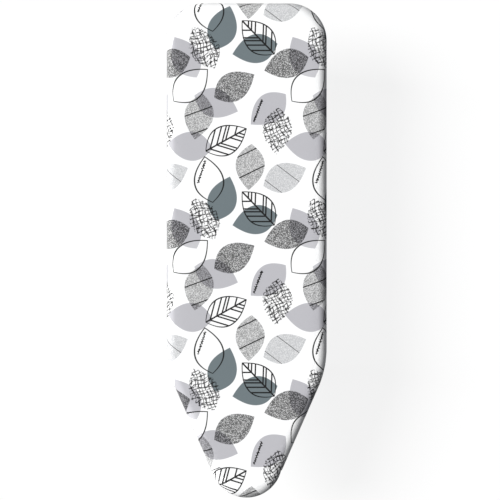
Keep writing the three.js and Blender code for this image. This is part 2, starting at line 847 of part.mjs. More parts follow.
const bail = addPiece("hanging_bail", makeBail(), zincSteel);
bail.position.set(0, bailY, bailZ);
for (const [hand, sign] of Object.entries(hands)) {
  const x = sign * bailClipX;
  const bailClip = addPiece(`${hand}_bail_clip`, makeBailClip(), zincSteel);
  bailClip.position.set(x, bailY, bailZ);

  const rivetY = bailY + bailRivetFromAxis;
  const piece = addPiece(`${hand}_bail_rivet`, rivet(bailClipWall + gap + railWall), zincSteel);
  piece.position.set(x, rivetY, railBottom - gap - bailClipWall);
  piece.rotation.x = Math.PI;
  railCuts.heel_rail.push(rivetHole(railWall).translate(x, rivetY, railBottom));
}

for (const [name, y] of Object.entries(rails)) {
  addPiece(name, makeRail(y, railCuts[name]), powderCoat);
}

export default board;
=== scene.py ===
# %% [markdown]
# # A tabletop sleeve ironing board
# A padded board about 60 cm long stands on two folding legs of steel tube. A printed cotton cover is
# stretched over foam and held under the board by an elastic binding. The frame that the CAD made is
# fixed: every steel, rubber and plastic part is already in its place, and this script gives those
# parts their finish and makes the cloth, the foam and the small turned parts again with finer shapes.

# %% Load the fixed frame
import json
import math
import random

import bmesh
import bpy
from mathutils import Matrix, Vector, noise

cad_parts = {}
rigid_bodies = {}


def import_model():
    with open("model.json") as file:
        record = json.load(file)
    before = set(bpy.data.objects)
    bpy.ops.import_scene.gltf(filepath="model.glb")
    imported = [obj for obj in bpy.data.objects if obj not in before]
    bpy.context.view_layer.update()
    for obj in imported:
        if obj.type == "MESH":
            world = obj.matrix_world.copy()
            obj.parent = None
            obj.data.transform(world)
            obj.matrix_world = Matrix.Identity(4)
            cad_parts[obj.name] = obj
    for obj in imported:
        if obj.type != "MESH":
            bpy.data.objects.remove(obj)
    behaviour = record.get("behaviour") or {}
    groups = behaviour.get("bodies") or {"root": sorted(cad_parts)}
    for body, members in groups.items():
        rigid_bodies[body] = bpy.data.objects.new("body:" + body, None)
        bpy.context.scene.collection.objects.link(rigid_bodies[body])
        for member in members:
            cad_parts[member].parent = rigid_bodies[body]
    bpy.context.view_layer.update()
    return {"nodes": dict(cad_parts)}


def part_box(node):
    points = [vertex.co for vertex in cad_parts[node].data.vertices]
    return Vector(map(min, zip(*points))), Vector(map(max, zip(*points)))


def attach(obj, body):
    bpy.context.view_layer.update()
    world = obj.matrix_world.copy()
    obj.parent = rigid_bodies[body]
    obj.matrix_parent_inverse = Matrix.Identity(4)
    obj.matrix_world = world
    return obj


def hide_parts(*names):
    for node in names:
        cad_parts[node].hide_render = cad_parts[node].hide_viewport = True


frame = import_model()
scene = bpy.context.scene

# %% [markdown]
# The board's outline is made of arcs that turn outwards, joined by straight lines, so one set of
# centres serves every layer: the cover, the foam and the felt only differ in how far inside the
# outline they lie. The sizes come from the frame, and the radii repeat the ones that it was made with.

# %% Measures of the board
cover_low, cover_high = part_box("cover")
HALF_WIDTH = cover_high[0]
HALF_LENGTH = cover_high[1]
TOP = cover_high[2]
UNDER = cover_low[2]
HEEL_RADIUS = 0.045
KNEE_RADIUS = 0.120
NOSE_RADIUS = 0.043
STRAIGHT = 0.418  # from the heel to the start of the knee
TOP_EDGE = 0.011  # rounding of the top edge
LOW_EDGE = 0.010  # rounding of the lower edge
HEM = 0.0225  # outline to the hem's edge under the board
CLOTH = 0.0008  # thickness
TOUCHING = 0.00001  # vertices that are this near become one

HEEL = Vector((HALF_WIDTH - HEEL_RADIUS, HALF_LENGTH - HEEL_RADIUS, 0))
KNEE = Vector((HALF_WIDTH - KNEE_RADIUS, HALF_LENGTH - STRAIGHT, 0))
NOSE = Vector((0, NOSE_RADIUS - HALF_LENGTH, 0))
knee_to_nose = KNEE - NOSE
TAPER = math.asin((KNEE_RADIUS - NOSE_RADIUS) / knee_to_nose.length) - math.atan2(
    -KNEE.x, knee_to_nose.y
)
print("board:", 2 * HALF_WIDTH, "x", 2 * HALF_LENGTH, "taper, degrees:", math.degrees(TAPER))

# %% [markdown]
# The camera looks straight down on the board, with the heel at the top of the picture. A long lens
# from far above keeps the sides from showing, as a product picture of a cover does.

# %% Camera
LENS = 150
SENSOR = 36
VIEW_SIDE = 0.6073  # width of the view at the board's edge
VIEW_MIDDLE = (0.00395, 0.0006)  # the point of the board that is in the middle of the view
camera_data = bpy.data.cameras.new("camera")
camera_data.lens = LENS
camera_data.sensor_width = SENSOR
camera = bpy.data.objects.new("camera", camera_data)
camera_height = TOP - TOP_EDGE + VIEW_SIDE * LENS / SENSOR
camera.location = (*VIEW_MIDDLE, camera_height)
camera_data.clip_end = 20
scene.collection.objects.link(camera)
scene.camera = camera
print("camera height:", round(camera_height, 3))

# %% [markdown]
# The world and the materials are node trees. A few helpers keep their code short: one places a node
# with its inputs and gives back one output, and one makes a node group with named sockets.

# %% Node helpers
def feed(tree, node, inputs):
    """Gives a node its inputs, which are values or other nodes' outputs."""
    for name, value in inputs.items():
        if isinstance(value, bpy.types.NodeSocket):
            tree.links.new(value, node.inputs[name])
        else:
            node.inputs[name].default_value = value


def put(tree, kind, inputs=None, output=0, **settings):
    """Places a node with its settings and inputs, and returns the chosen output."""
    node = tree.nodes.new("ShaderNode" + kind)
    for name, value in settings.items():
        setattr(node, name, value)
    feed(tree, node, inputs or {})
    return node.outputs[output]


def calc(tree, operation, *values):
    """A Math node on numbers or outputs."""
    return put(tree, "Math", dict(enumerate(values)), operation=operation)


def parts_of(tree, vector):
    """The X, Y and Z of a vector, by name."""
    node = tree.nodes.new("ShaderNodeSeparateXYZ")
    tree.links.new(vector, node.inputs[0])
    return node.outputs


def ramp(tree, value, low, high, to_low=0.0, to_high=1.0):
    """Maps a value from one range to another, and stays inside it."""
    inputs = {
        "Value": value, "From Min": low, "From Max": high, "To Min": to_low, "To Max": to_high
    }
    return put(tree, "MapRange", inputs)


def blend(tree, factor, first, second, mode="MIX"):
    """Mixes two colours."""
    inputs = {0: factor, 6: first, 7: second}  # the colour sockets among those of all types
    return put(tree, "Mix", inputs, 2, data_type="RGBA", blend_type=mode)


def relief(tree, strength, distance, height):
    """The normal of a surface with a small relief."""
    return put(tree, "Bump", {"Strength": strength, "Distance": distance, "Height": height})


SOCKETS = {"value": "NodeSocketFloat", "vector": "NodeSocketVector", "colour": "NodeSocketColor"}


def new_group(name, inputs, outputs):
    """Makes a node group. Inputs and outputs are {name: (kind, default)}."""
    tree = bpy.data.node_groups.new(name, "ShaderNodeTree")
    for in_out, sockets in (("INPUT", inputs), ("OUTPUT", outputs)):
        for socket_name, (kind, default) in sockets.items():
            socket = tree.interface.new_socket(
                socket_name, in_out=in_out, socket_type=SOCKETS[kind]
            )
            if default is not None:
                socket.default_value = default
    start = tree.nodes.new("NodeGroupInput")
    end = tree.nodes.new("NodeGroupOutput")
    return tree, start.outputs, end


def use(tree, group, inputs):
    """Places a group and returns its outputs by name."""
    node = tree.nodes.new("ShaderNodeGroup")
    node.node_tree = group
    feed(tree, node, inputs)
    return node.outputs


def grey(level):
    return (level, level, level, 1)


def new_material(name, roughness, metallic=0.0):
    """A material with a Principled shader. Returns the material, its tree and the shader."""
    material = bpy.data.materials.new(name)
    material.use_nodes = True
    shader = material.node_tree.nodes["Principled BSDF"]
    shader.inputs["Roughness"].default_value = roughness
    shader.inputs["Metallic"].default_value = metallic
    return material, material.node_tree, shader


print("helpers ready")

# %% [markdown]
# A white cover is hard to show on a pale floor: it needs one soft main light from the heel's left,
# so that the right-hand edge turns away from it and goes dark, and very little light from elsewhere.
# A weaker, low light from the left keeps the left-hand edge as bright as the floor beside it.
# The floor keeps its pale look for the camera, but throws only a little light back up at the board,
# and the world is a pale wall to the camera and a dim fill light to everything else.

# %% Floor and light
def aim(light, place, target):
    light.location = place
    light.rotation_mode = "QUATERNION"
    light.rotation_quaternion = (Vector(place) - Vector(target)).to_track_quat("Z", "Y")


def add_sun(name, energy, softness, place):
    """A far light, as soft as a lamp that fills that many degrees."""
    data = bpy.data.lights.new(name, "SUN")
    data.energy = energy
    data.angle = math.radians(softness)
    light = bpy.data.objects.new(name, data)
    aim(light, place, (0, 0, 0))
    scene.collection.objects.link(light)
    return data


key_data = add_sun("key_light", energy=4.4, softness=26, place=(-1.7, 0.5, 1.75))
add_sun("left_edge_light", energy=1.6, softness=12, place=(-2.0, 0.2, 0.35))

world = bpy.data.worlds.new("studio")
world.use_nodes = True
sky = world.node_tree
fill = sky.nodes["Background"]
feed(sky, fill, {"Color": (0.93, 0.96, 1.0, 1), "Strength": 0.16})
wall = put(sky, "Background", {"Color": (0.9, 0.91, 0.92, 1)})
to_camera = put(sky, "LightPath", output="Is Camera Ray")
seen = put(sky, "MixShader", {0: to_camera, 1: fill.outputs[0], 2: wall})
feed(sky, sky.nodes["World Output"], {"Surface": seen})
scene.world = world
scene.view_settings.view_transform = "Standard"

floor_mesh = bpy.data.meshes.new("floor")
bm = bmesh.new()
bmesh.ops.create_grid(bm, x_segments=1, y_segments=1, size=4)
bm.to_mesh(floor_mesh)
bm.free()
floor = bpy.data.objects.new("floor", floor_mesh)
scene.collection.objects.link(floor)
print("key light energy:", key_data.energy)

# %% [markdown]
# The floor is a plain sheet of pale card. The camera sees it lifted towards white by a little light of
# its own; the board sees only the dull card, so that no strong light is thrown up at its dark side.

# %% Floor material
OWN_LIGHT = 0.86  # how far the card is lifted towards white

material, tree, shader = new_material("pale_card", 0.9)
fibres = put(tree, "TexNoise", {"Scale": 40.0, "Detail": 4.0})
feed(tree, shader, {"Base Color": ramp(tree, fibres, 0.3, 0.7, 0.88, 0.90)})
dull = put(tree, "BsdfDiffuse", {"Color": grey(0.22)})
lifted = put(tree, "MixShader", {0: OWN_LIGHT, 1: shader.outputs[0], 2: put(tree, "Emission")})
to_camera = put(tree, "LightPath", output="Is Camera Ray")
seen = put(tree, "MixShader", {0: to_camera, 1: dull, 2: lifted})
feed(tree, tree.nodes["Material Output"], {"Surface": seen})
floor.data.materials.append(material)
print("floor material:", material.name)

# %% [markdown]
# ## The print
# The cotton is printed with leaves in slate, lavender, greys and black, in a repeat of about 14 by
# 21 cm. Each leaf is the same pointed shape, placed and turned, so the first group works out where a
# point of the cloth lies in a leaf: along it, across it, and how far inside its edge. Wrapping the
# coordinates before they are turned repeats every leaf with the cloth's repeat. All of it is in
# millimetres.

# %% Leaf shape group
REPEAT = Vector((143.1, 206.9, 0))
LEAF_HALF = 28.0
LEAF_FATNESS = 0.62  # half width over half length
LEAF_POINT = 0.18  # how much fuller the blunt end is
LEAF_ROUND = 2.1  # power of the outline's curve

tree, given, end = new_group(
    "Leaf shape",
    {
        "Place": ("vector", None),
        "Centre": ("vector", None),
        "Turn": ("value", 0.0),
    },
    {"Along": ("value", None), "Across": ("value", None), "Inside": ("value", None)},
)
offset = put(tree, "VectorMath", {0: given["Place"], 1: given["Centre"]}, operation="SUBTRACT")
wrapped = put(
    tree, "VectorMath", {0: offset, 1: REPEAT / 2, 2: -REPEAT / 2}, operation="WRAP"
)
back_turn = calc(tree, "RADIANS", calc(tree, "MULTIPLY", given["Turn"], -1.0))
turned = put(
    tree, "VectorRotate", {"Vector": wrapped, "Angle": back_turn}, rotation_type="Z_AXIS"
)
leaf = parts_of(tree, turned)
share = calc(tree, "DIVIDE", leaf["X"], LEAF_HALF)
curve = calc(tree, "SUBTRACT", 1.0, calc(tree, "POWER", calc(tree, "ABSOLUTE", share), LEAF_ROUND))
fuller = calc(tree, "SUBTRACT", 1.0, calc(tree, "MULTIPLY", share, LEAF_POINT))
half_width = calc(
    tree, "MULTIPLY", calc(tree, "MULTIPLY", curve, fuller), LEAF_HALF * LEAF_FATNESS
)
inside = calc(tree, "SUBTRACT", half_width, calc(tree, "ABSOLUTE", leaf["Y"]))
feed(tree, end, {"Along": leaf["X"], "Across": leaf["Y"], "Inside": inside})
leaf_shape = tree
print("leaf shape group:", len(tree.nodes), "nodes")

# %% [markdown]
# Each kind of leaf is a group of its own that takes the cloth's colour so far, prints itself over it
# by multiplying, as ink does, and hands the colour on. So the overlaps come out darker by themselves.
# An outlined leaf can pale what it lies over, and a speckled leaf is ink with pale dots in it.

# %% Leaf kinds: plain, outlined and speckled
EDGE = 0.18  # softness of a printed edge, in millimetres
LIGHTEST_DOT = 0.12  # share of ink in the pale dots of a speckled leaf


def leaf_group(name, **numbers):
    """Starts a leaf group: its tree, its inputs, its leaf coordinates and its end."""
    inputs = {
        "Colour": ("colour", grey(1)),
        "Place": ("vector", None),
        "Centre": ("vector", None),
        "Turn": ("value", 0.0),
        "Ink": ("colour", grey(0.1)),
        **{socket: ("value", number) for socket, number in numbers.items()},
    }
    tree, given, end = new_group(name, inputs, {"Colour": ("colour", None)})
    placing = {key: given[key] for key in ("Place", "Centre", "Turn")}
    return tree, given, use(tree, leaf_shape, placing), end


def is_inside(tree, distance):
    """1 where the distance inside an edge is more than 0, with a soft step."""
    return ramp(tree, distance, -EDGE, EDGE)


def line_mask(tree, distance, half_width):
    """1 within half_width of where the distance is 0."""
    return ramp(
        tree, calc(tree, "ABSOLUTE", distance), half_width - EDGE, half_width + EDGE, 1.0, 0.0
    )


def close_leaf(tree, colour, ink, mask, end):
    """Multiplies the colour by the ink where the mask is 1, and closes the group."""
    feed(tree, end, {"Colour": blend(tree, mask, colour, ink, "MULTIPLY")})
    print("leaf group:", tree.name, len(tree.nodes), "nodes")
    return tree


tree, given, leaf, end = leaf_group("Plain leaf")
mask = is_inside(tree, leaf["Inside"])
plain_leaf = close_leaf(tree, given["Colour"], given["Ink"], mask, end)

tree, given, leaf, end = leaf_group("Outlined leaf", Line=0.6, Fade=0.0)
filled = calc(tree, "MULTIPLY", is_inside(tree, leaf["Inside"]), given["Fade"])
paled = blend(tree, filled, given["Colour"], grey(1))
from_line = calc(tree, "SUBTRACT", calc(tree, "ABSOLUTE", leaf["Inside"]), given["Line"])
mask = ramp(tree, from_line, -EDGE, EDGE, 1.0, 0.0)
outlined_leaf = close_leaf(tree, paled, given["Ink"], mask, end)

tree, given, leaf, end = leaf_group("Speckled leaf", Scale=0.6, Dots=0.45, Softness=0.1)
cells = put(
    tree, "TexVoronoi", {"Vector": given["Place"], "Scale": given["Scale"], "Randomness": 1.0}
)
ragged = put(tree, "TexNoise", {"Vector": given["Place"], "Scale": 0.9, "Detail": 2.0})
distance = calc(tree, "ADD", cells, calc(tree, "MULTIPLY", ragged, 0.25))
dots = ramp(
    tree,
    distance,
    calc(tree, "SUBTRACT", given["Dots"], given["Softness"]),
    calc(tree, "ADD", given["Dots"], given["Softness"]),
    LIGHTEST_DOT,
)
mask = calc(tree, "MULTIPLY", dots, is_inside(tree, leaf["Inside"]))
speckled_leaf = close_leaf(tree, given["Colour"], given["Ink"], mask, end)

# %% [markdown]
# A veined leaf has a midrib, a thin outline and side veins that lean towards its tip. A point lies on
# a side vein if the place where that vein would leave the midrib is one of a short list of places, so
# each vein costs one comparison. Cross lines are two slanted lines that lie over a speckled leaf.

# %% Leaf kinds: veined and lined
VEIN_LEAN = math.radians(46)
LEFT_VEINS = (6.0, 15.0, 22.5, 27.3, 40.0)  # from the blunt tip
RIGHT_VEINS = (5.5, 15.2, 20.0, 33.5, 40.0, 45.3)

tree, given, leaf, end = leaf_group("Veined leaf", Line=0.6)
side = calc(tree, "ABSOLUTE", leaf["Across"])
root = calc(  # where a vein through this point would leave the midrib
    tree,
    "SUBTRACT",
    calc(tree, "ADD", leaf["Along"], LEAF_HALF),
    calc(tree, "DIVIDE", side, math.tan(VEIN_LEAN)),
)
left = calc(tree, "GREATER_THAN", leaf["Across"], 0.0)
veins = {}
for hand, places in (("left", LEFT_VEINS), ("right", RIGHT_VEINS)):
    total = 0.0
    for place in places:
        near = calc(tree, "COMPARE", root, place, calc(tree, "MULTIPLY", given["Line"], 1.25))
        total = calc(tree, "MAXIMUM", near, total)
    veins[hand] = total
side_veins = calc(
    tree,
    "ADD",
    calc(tree, "MULTIPLY", veins["left"], left),
    calc(tree, "MULTIPLY", veins["right"], calc(tree, "SUBTRACT", 1.0, left)),
)
midrib = calc(tree, "LESS_THAN", side, given["Line"])
inner_lines = calc(tree, "MAXIMUM", side_veins, midrib)
inner_lines = calc(tree, "MULTIPLY", inner_lines, is_inside(tree, leaf["Inside"]))
outline = calc(tree, "COMPARE", leaf["Inside"], 0.0, calc(tree, "MULTIPLY", given["Line"], 0.8))
mask = calc(tree, "MAXIMUM", inner_lines, outline)
veined_leaf = close_leaf(tree, given["Colour"], given["Ink"], mask, end)

CROSS_LEAN = math.radians(-60)
CROSS_PLACES = (-20.0, 7.0)  # where the two cross lines meet the leaf's axis

tree, given, leaf, end = leaf_group("Cross lines", Line=0.6, Shift=0.0)
lean = calc(tree, "DIVIDE", leaf["Across"], math.tan(CROSS_LEAN))
slanted = calc(tree, "SUBTRACT", calc(tree, "SUBTRACT", leaf["Along"], lean), given["Shift"])
lines = 0.0
for place in CROSS_PLACES:
    lines = calc(tree, "MAXIMUM", calc(tree, "COMPARE", slanted, place, given["Line"]), lines)
mask = calc(tree, "MULTIPLY", lines, is_inside(tree, leaf["Inside"]))
cross_lines = close_leaf(tree, given["Colour"], given["Ink"], mask, end)

# %% [markdown]
# A scribbled leaf is filled with pen strokes that cross one another and has no outline. Bands of a
# wavy distance make the strokes: the coordinate across a set of strokes is bent a little by noise, and
# every few millimetres of it is a stroke. Two sets run nearly along the hatching and two nearly across
# it, and a second noise breaks the strokes up. A row of marks is one short wavy stroke of uneven
# thickness.

# %% Leaf kinds: scribbled, and a row of marks
STROKES = ((-14.0, 4.4), (-3.0, 8.3), (84.0, 4.1), (71.0, 7.6))  # turn in degrees, pitch
STROKE_HALF = 0.5
STROKE_BEND = 7.0
STROKE_TREMBLE = 1.3
RAGGED_EDGE = 6.0  # how far noise moves the leaf's edge


def turned_axes(tree, along, across, angle):
    """The coordinates along and across a direction at an angle to the leaf."""
    cosine = calc(tree, "COSINE", angle)
    sine = calc(tree, "SINE", angle)
    products = [
        calc(tree, "MULTIPLY", distance, part)
        for distance, part in ((along, cosine), (across, sine), (across, cosine), (along, sine))
    ]
    return calc(tree, "ADD", *products[:2]), calc(tree, "SUBTRACT", *products[2:])


tree, given, leaf, end = leaf_group("Scribbled leaf", Hatch=0.0)
hatch = calc(tree, "RADIANS", given["Hatch"])
along, across = turned_axes(tree, leaf["Along"], leaf["Across"], hatch)
bend = put(tree, "TexNoise", {"Vector": given["Place"], "Scale": 0.07, "Detail": 0.0})
tremble = put(tree, "TexNoise", {"Vector": given["Place"], "Scale": 0.4, "Detail": 1.0})
lines = 0.0
for turn, pitch in STROKES:
    _, from_stroke = turned_axes(tree, along, across, math.radians(turn))
    bent = calc(tree, "MULTIPLY_ADD", bend, STROKE_BEND, from_stroke)
    shaken = calc(tree, "MULTIPLY_ADD", tremble, STROKE_TREMBLE, bent)
    gap_to_line = calc(tree, "PINGPONG", shaken, pitch / 2)
    lines = calc(tree, "MAXIMUM", line_mask(tree, gap_to_line, STROKE_HALF), lines)
broken = put(tree, "TexNoise", {"Vector": given["Place"], "Scale": 0.3, "Detail": 2.0})
lines = calc(tree, "MULTIPLY", lines, ramp(tree, broken, 0.36, 0.46, 0.25, 1.0))
off_centre = calc(tree, "SUBTRACT", tremble, 0.5)
ragged = calc(tree, "MULTIPLY_ADD", off_centre, RAGGED_EDGE, leaf["Inside"])
mask = calc(tree, "MULTIPLY", lines, is_inside(tree, ragged))
scribbled_leaf = close_leaf(tree, given["Colour"], given["Ink"], mask, end)

MARK_ROW_PLACE = (10.6, 6.8)  # along the leaf and to one side of its axis
MARK_ROW_TURN = math.radians(-28.5)
MARK_ROW_HALF = 14.5
MARK_SWELL = 4.4
MARK_THINNEST = -1.1  # less than 0, so that the row has gaps
MARK_WAVES = 2.1  # radians to a millimetre
MARK_WANDER = 0.45

tree, given, leaf, end = leaf_group("Row of marks", Side=1.0)
ahead = calc(tree, "SUBTRACT", leaf["Along"], MARK_ROW_PLACE[0])
one_side = calc(tree, "MULTIPLY", leaf["Across"], given["Side"])
aside = calc(tree, "SUBTRACT", one_side, MARK_ROW_PLACE[1])
row_along, row_across = turned_axes(tree, ahead, aside, MARK_ROW_TURN)
uneven = put(tree, "TexNoise", {"Vector": given["Place"], "Scale": 0.5, "Detail": 2.0})
thickness = calc(tree, "MULTIPLY_ADD", uneven, MARK_SWELL, MARK_THINNEST)
waving = calc(tree, "SINE", calc(tree, "MULTIPLY", row_along, MARK_WAVES))
wander = calc(tree, "MULTIPLY", waving, MARK_WANDER)
from_row = calc(tree, "ABSOLUTE", calc(tree, "SUBTRACT", row_across, wander))
near_row = ramp(tree, calc(tree, "SUBTRACT", from_row, thickness), -EDGE, EDGE, 1.0, 0.0)
in_row = calc(tree, "LESS_THAN", calc(tree, "ABSOLUTE", row_along), MARK_ROW_HALF)
mask = calc(tree, "MULTIPLY", near_row, in_row)
row_of_marks = close_leaf(tree, given["Colour"], given["Ink"], mask, end)

# %% [markdown]
# Cotton is a plain weave. The weave group gives a height and a small colour change from two sets of
# threads at right angles, with noise that makes some threads thicker, as in real yarn.

# %% Weave group
tree, given, end = new_group(
    "Plain weave",
    {"Place": ("vector", None), "Thread": ("value", 0.42), "Slub": ("value", 0.3)},
    {"Height": ("value", None), "Shade": ("value", None)},
)
cloth = parts_of(tree, given["Place"])
waves = []
for axis in ("X", "Y"):
    count = calc(tree, "DIVIDE", cloth[axis], given["Thread"])
    waves.append(calc(tree, "SINE", calc(tree, "MULTIPLY", count, math.pi)))
warp_over = calc(tree, "MULTIPLY", waves[0], waves[1])
stretched = put(tree, "Mapping", {"Vector": given["Place"], "Scale": (0.35, 4.0, 1.0)})
slub = put(tree, "TexNoise", {"Vector": stretched, "Scale": 0.8, "Detail": 3.0})
slub_pull = calc(tree, "MULTIPLY", calc(tree, "SUBTRACT", slub, 0.5), given["Slub"])
height = calc(tree, "ADD", calc(tree, "MULTIPLY", warp_over, 0.5), slub_pull)
shade = calc(tree, "MULTIPLY_ADD", slub_pull, 0.12, 0.985)
feed(tree, end, {"Height": height, "Shade": shade})
weave = tree
print("weave group:", len(tree.nodes), "nodes")

# %% [markdown]
# The printed cotton reads the cover's own UV map, which is the flat cut of the cloth in metres. So the
# print follows the cloth round the edge and under the board, as it does on a sewn cover.

# %% Printed cotton
SLATE = (0.155, 0.192, 0.206, 1)
LAVENDER = (0.515, 0.51, 0.54, 1)
BLACK = grey(0.012)
CHARCOAL = grey(0.12)
SOFT_GREY = grey(0.33)
PALE_GREY = (0.57, 0.575, 0.585, 1)
UNPRINTED = grey(0.86)
SOFT_DOTS = {"Ink": SOFT_GREY, "Scale": 1.0, "Dots": 0.52, "Softness": 0.2}
PALE_DOTS = {"Ink": PALE_GREY, "Scale": 1.0, "Dots": 0.45, "Softness": 0.25}
DARK_DOTS = {"Ink": CHARCOAL, "Scale": 0.95, "Dots": 0.48, "Softness": 0.17}
VEINS = {"Ink": BLACK, "Line": 0.98}
MM = 1000.0  # in a metre
PRINT_SHIFT = (0.0, -1.2, 0.0)  # where the repeat starts on this board, in millimetres

material, tree, shader = new_material("printed_cotton", 0.92)
uv = put(tree, "UVMap", uv_map="flat_cut")
in_mm = put(tree, "VectorMath", {0: uv, "Scale": MM}, operation="SCALE")
place = put(tree, "VectorMath", {0: in_mm, 1: PRINT_SHIFT}, operation="SUBTRACT")
colour = grey(1)
LEAVES = (
    (plain_leaf, (69, 28), 119, {"Ink": LAVENDER}),
    (plain_leaf, (-37, 179), -20, {"Ink": LAVENDER}),
    (plain_leaf, (26, 172), -139, {"Ink": LAVENDER}),
    (plain_leaf, (-69, 127.5), 174, {"Ink": LAVENDER}),
    (plain_leaf, (-29, 64), 72, {"Ink": SLATE}),
    (plain_leaf, (10, 38), -167, {"Ink": SLATE}),
    (row_of_marks, (26, 172), -139, {"Ink": BLACK, "Side": -1.0}),
    (speckled_leaf, (-58, 163), -100, SOFT_DOTS),
    (speckled_leaf, (4, 102), -94, SOFT_DOTS),
    (speckled_leaf, (46, 90), 23, PALE_DOTS),
    (cross_lines, (-58, 163), -100, {"Ink": BLACK, "Line": 0.8, "Shift": 12.8}),
    (cross_lines, (4, 102), -94, {"Ink": BLACK, "Line": 0.8}),
    (cross_lines, (46, 90), 23, {"Ink": CHARCOAL, "Line": 0.45}),
    (speckled_leaf, (48, 20), -163, DARK_DOTS),
    (speckled_leaf, (-15, 200), 30, DARK_DOTS),
    (outlined_leaf, (-46, 87), 100, {"Ink": BLACK, "Line": 0.92}),
    (row_of_marks, (-46, 87), 100, {"Ink": BLACK, "Side": 1.0}),
    (outlined_leaf, (-68, 201), 43, {"Ink": BLACK, "Line": 0.85, "Fade": 0.15}),
    (scribbled_leaf, (-52, 40), 117, {"Ink": BLACK, "Hatch": 0.0}),
    (scribbled_leaf, (37, 146), -93, {"Ink": BLACK, "Hatch": 38.0}),
    (veined_leaf, (14, 52), 134, VEINS),
    (veined_leaf, (-25, 135), 29, VEINS),
)
for group, centre, turn, extra in LEAVES:
    inputs = {"Colour": colour, "Place": place, "Centre": (*centre, 0), "Turn": float(turn)}
    colour = use(tree, group, {**inputs, **extra})["Colour"]
threads = use(tree, weave, {"Place": place, "Thread": 0.42, "Slub": 0.6})
cotton = blend(tree, 1.0, colour, UNPRINTED, "MULTIPLY")
finish = {
    "Base Color": blend(tree, 1.0, cotton, threads["Shade"], "MULTIPLY"),
    "Normal": relief(tree, 0.25, 0.0002, threads["Height"]),
    "Sheen Weight": 0.08,
}
feed(tree, shader, finish)
printed_cotton = material
print("leaves in one repeat:", len(LEAVES))

# %% [markdown]
# ## The cover
# A board cover is one piece of cloth, cut about 7 cm longer and wider than the board, pulled over the
# foam and gathered underneath. It could be draped by simulation, but a stretched cover is taut and
# smooth, so it is grown instead: a flat top inside the outline, whose rim is extruded round the edge
# and under the board in small steps. Half of the outline is spun and mirrored, and the two halves are
# bridged.

# %% The flat shape of the board
def heading(degrees):
    angle = math.radians(degrees)
    return Vector((math.cos(angle), math.sin(angle), 0))


def only(kind, items):
    return [item for item in items if isinstance(item, kind)]


def spin_from(bm, vert, centre, degrees, step):
    """Turns a vertex about a centre in steps of about that length, and returns the last vertex."""
    angle = math.radians(degrees)
    radius = (vert.co - centre).length
    spun = bmesh.ops.spin(
        bm, geom=[vert], cent=centre, axis=(0, 0, 1), dvec=(0, 0, 0), angle=angle,
        steps=max(2, round(abs(angle) * radius / step)), use_merge=False, use_duplicate=False,
    )
    return only(bmesh.types.BMVert, spun["geom_last"])[0]


def run_to(bm, vert, target, step):
    """Draws a straight line of short edges from a vertex to a target, and returns its last vertex."""
    start = vert.co.copy()
    count = max(1, round((target - start).length / step))
    for number in range(1, count + 1):
        vert = bmesh.ops.extrude_vert_indiv(bm, verts=[vert])["verts"][0]
        vert.co = start.lerp(target, number / count)
    return vert


NOSE_TIP = 10  # half of the nose's last rung, in degrees


def flat_board(inset, height, step, across):
    """The board's outline, some way inside it, filled with rows of quads from side to side."""
    bm = bmesh.new()
    lift = Vector((0, 0, height))
    radii = [radius - inset for radius in (NOSE_RADIUS, KNEE_RADIUS, HEEL_RADIUS)]
    nose, knee, heel = (centre + lift for centre in (NOSE, KNEE, HEEL))
    taper = math.degrees(TAPER)
    first = bm.verts.new(nose + radii[0] * heading(NOSE_TIP - 90))
    end_of_nose = spin_from(bm, first, nose, 90 - taper - NOSE_TIP, step)
    start_of_knee = run_to(bm, end_of_nose, knee + radii[1] * heading(-taper), step)
    end_of_knee = spin_from(bm, start_of_knee, knee, taper, step)
    start_of_heel = run_to(bm, end_of_knee, heel + radii[2] * heading(0), step)
    spin_from(bm, start_of_heel, heel, 90, step)
    bmesh.ops.mirror(bm, geom=bm.verts[:] + bm.edges[:], merge_dist=0, axis="X")
    bmesh.ops.bridge_loops(bm, edges=bm.edges[:])
    rungs = [e for e in bm.edges if e.verts[0].co.x * e.verts[1].co.x < 0]
    bmesh.ops.subdivide_edges(bm, edges=rungs, cuts=across, use_grid_fill=True)
    almost_heel = heel.y + radii[2] * 0.9999
    heel_edges = [
        e for e in bm.edges if e.is_boundary and min(v.co.y for v in e.verts) > almost_heel
    ]
    cuts = round(2 * HEEL.x / (across + 1) / step) - 1
    bmesh.ops.subdivide_edges(bm, edges=heel_edges, cuts=max(cuts, 0))
    for vert in bm.verts:
        if abs(vert.co.x) < radii[0] and vert.co.y < nose.y and vert.is_boundary:
            vert.co.y = nose.y - math.sqrt(radii[0] ** 2 - vert.co.x**2)
    bmesh.ops.recalc_face_normals(bm, faces=bm.faces[:])
    if sum(face.normal.z for face in bm.faces) < 0:
        bmesh.ops.reverse_faces(bm, faces=bm.faces[:])
    return bm


def outward(point):
    """The direction straight out of the outline near a point."""
    side = math.copysign(1, point.x)
    x = abs(point.x)
    if point.y >= HEEL.y:
        away = Vector((max(x - HEEL.x, 0), point.y - HEEL.y, 0))
    elif point.y >= KNEE.y:
        away = Vector((1, 0, 0))
    elif math.atan2(point.y - KNEE.y, x - KNEE.x) > -TAPER:
        away = Vector((x, point.y, 0)) - KNEE
    elif math.atan2(point.y - NOSE.y, x - NOSE.x) < -TAPER:
        away = Vector((x, point.y, 0)) - NOSE
    else:
        away = Vector((math.cos(TAPER), -math.sin(TAPER), 0))
    away.normalize()
    return Vector((away.x * side, away.y, 0))


COVER_STEP = 0.0016
COVER_ACROSS = 24
bm = flat_board(TOP_EDGE, TOP, COVER_STEP, COVER_ACROSS)
print("flat top:", len(bm.faces), "faces")

# %% [markdown]
# The rim is followed round once, so that each of its vertices knows its way out and how far along the
# hem it lies. Each extrusion then takes a place on the edge's profile: how far inside the outline, how
# high, and how much cloth has been used up so far, which is what the flat cut needs.

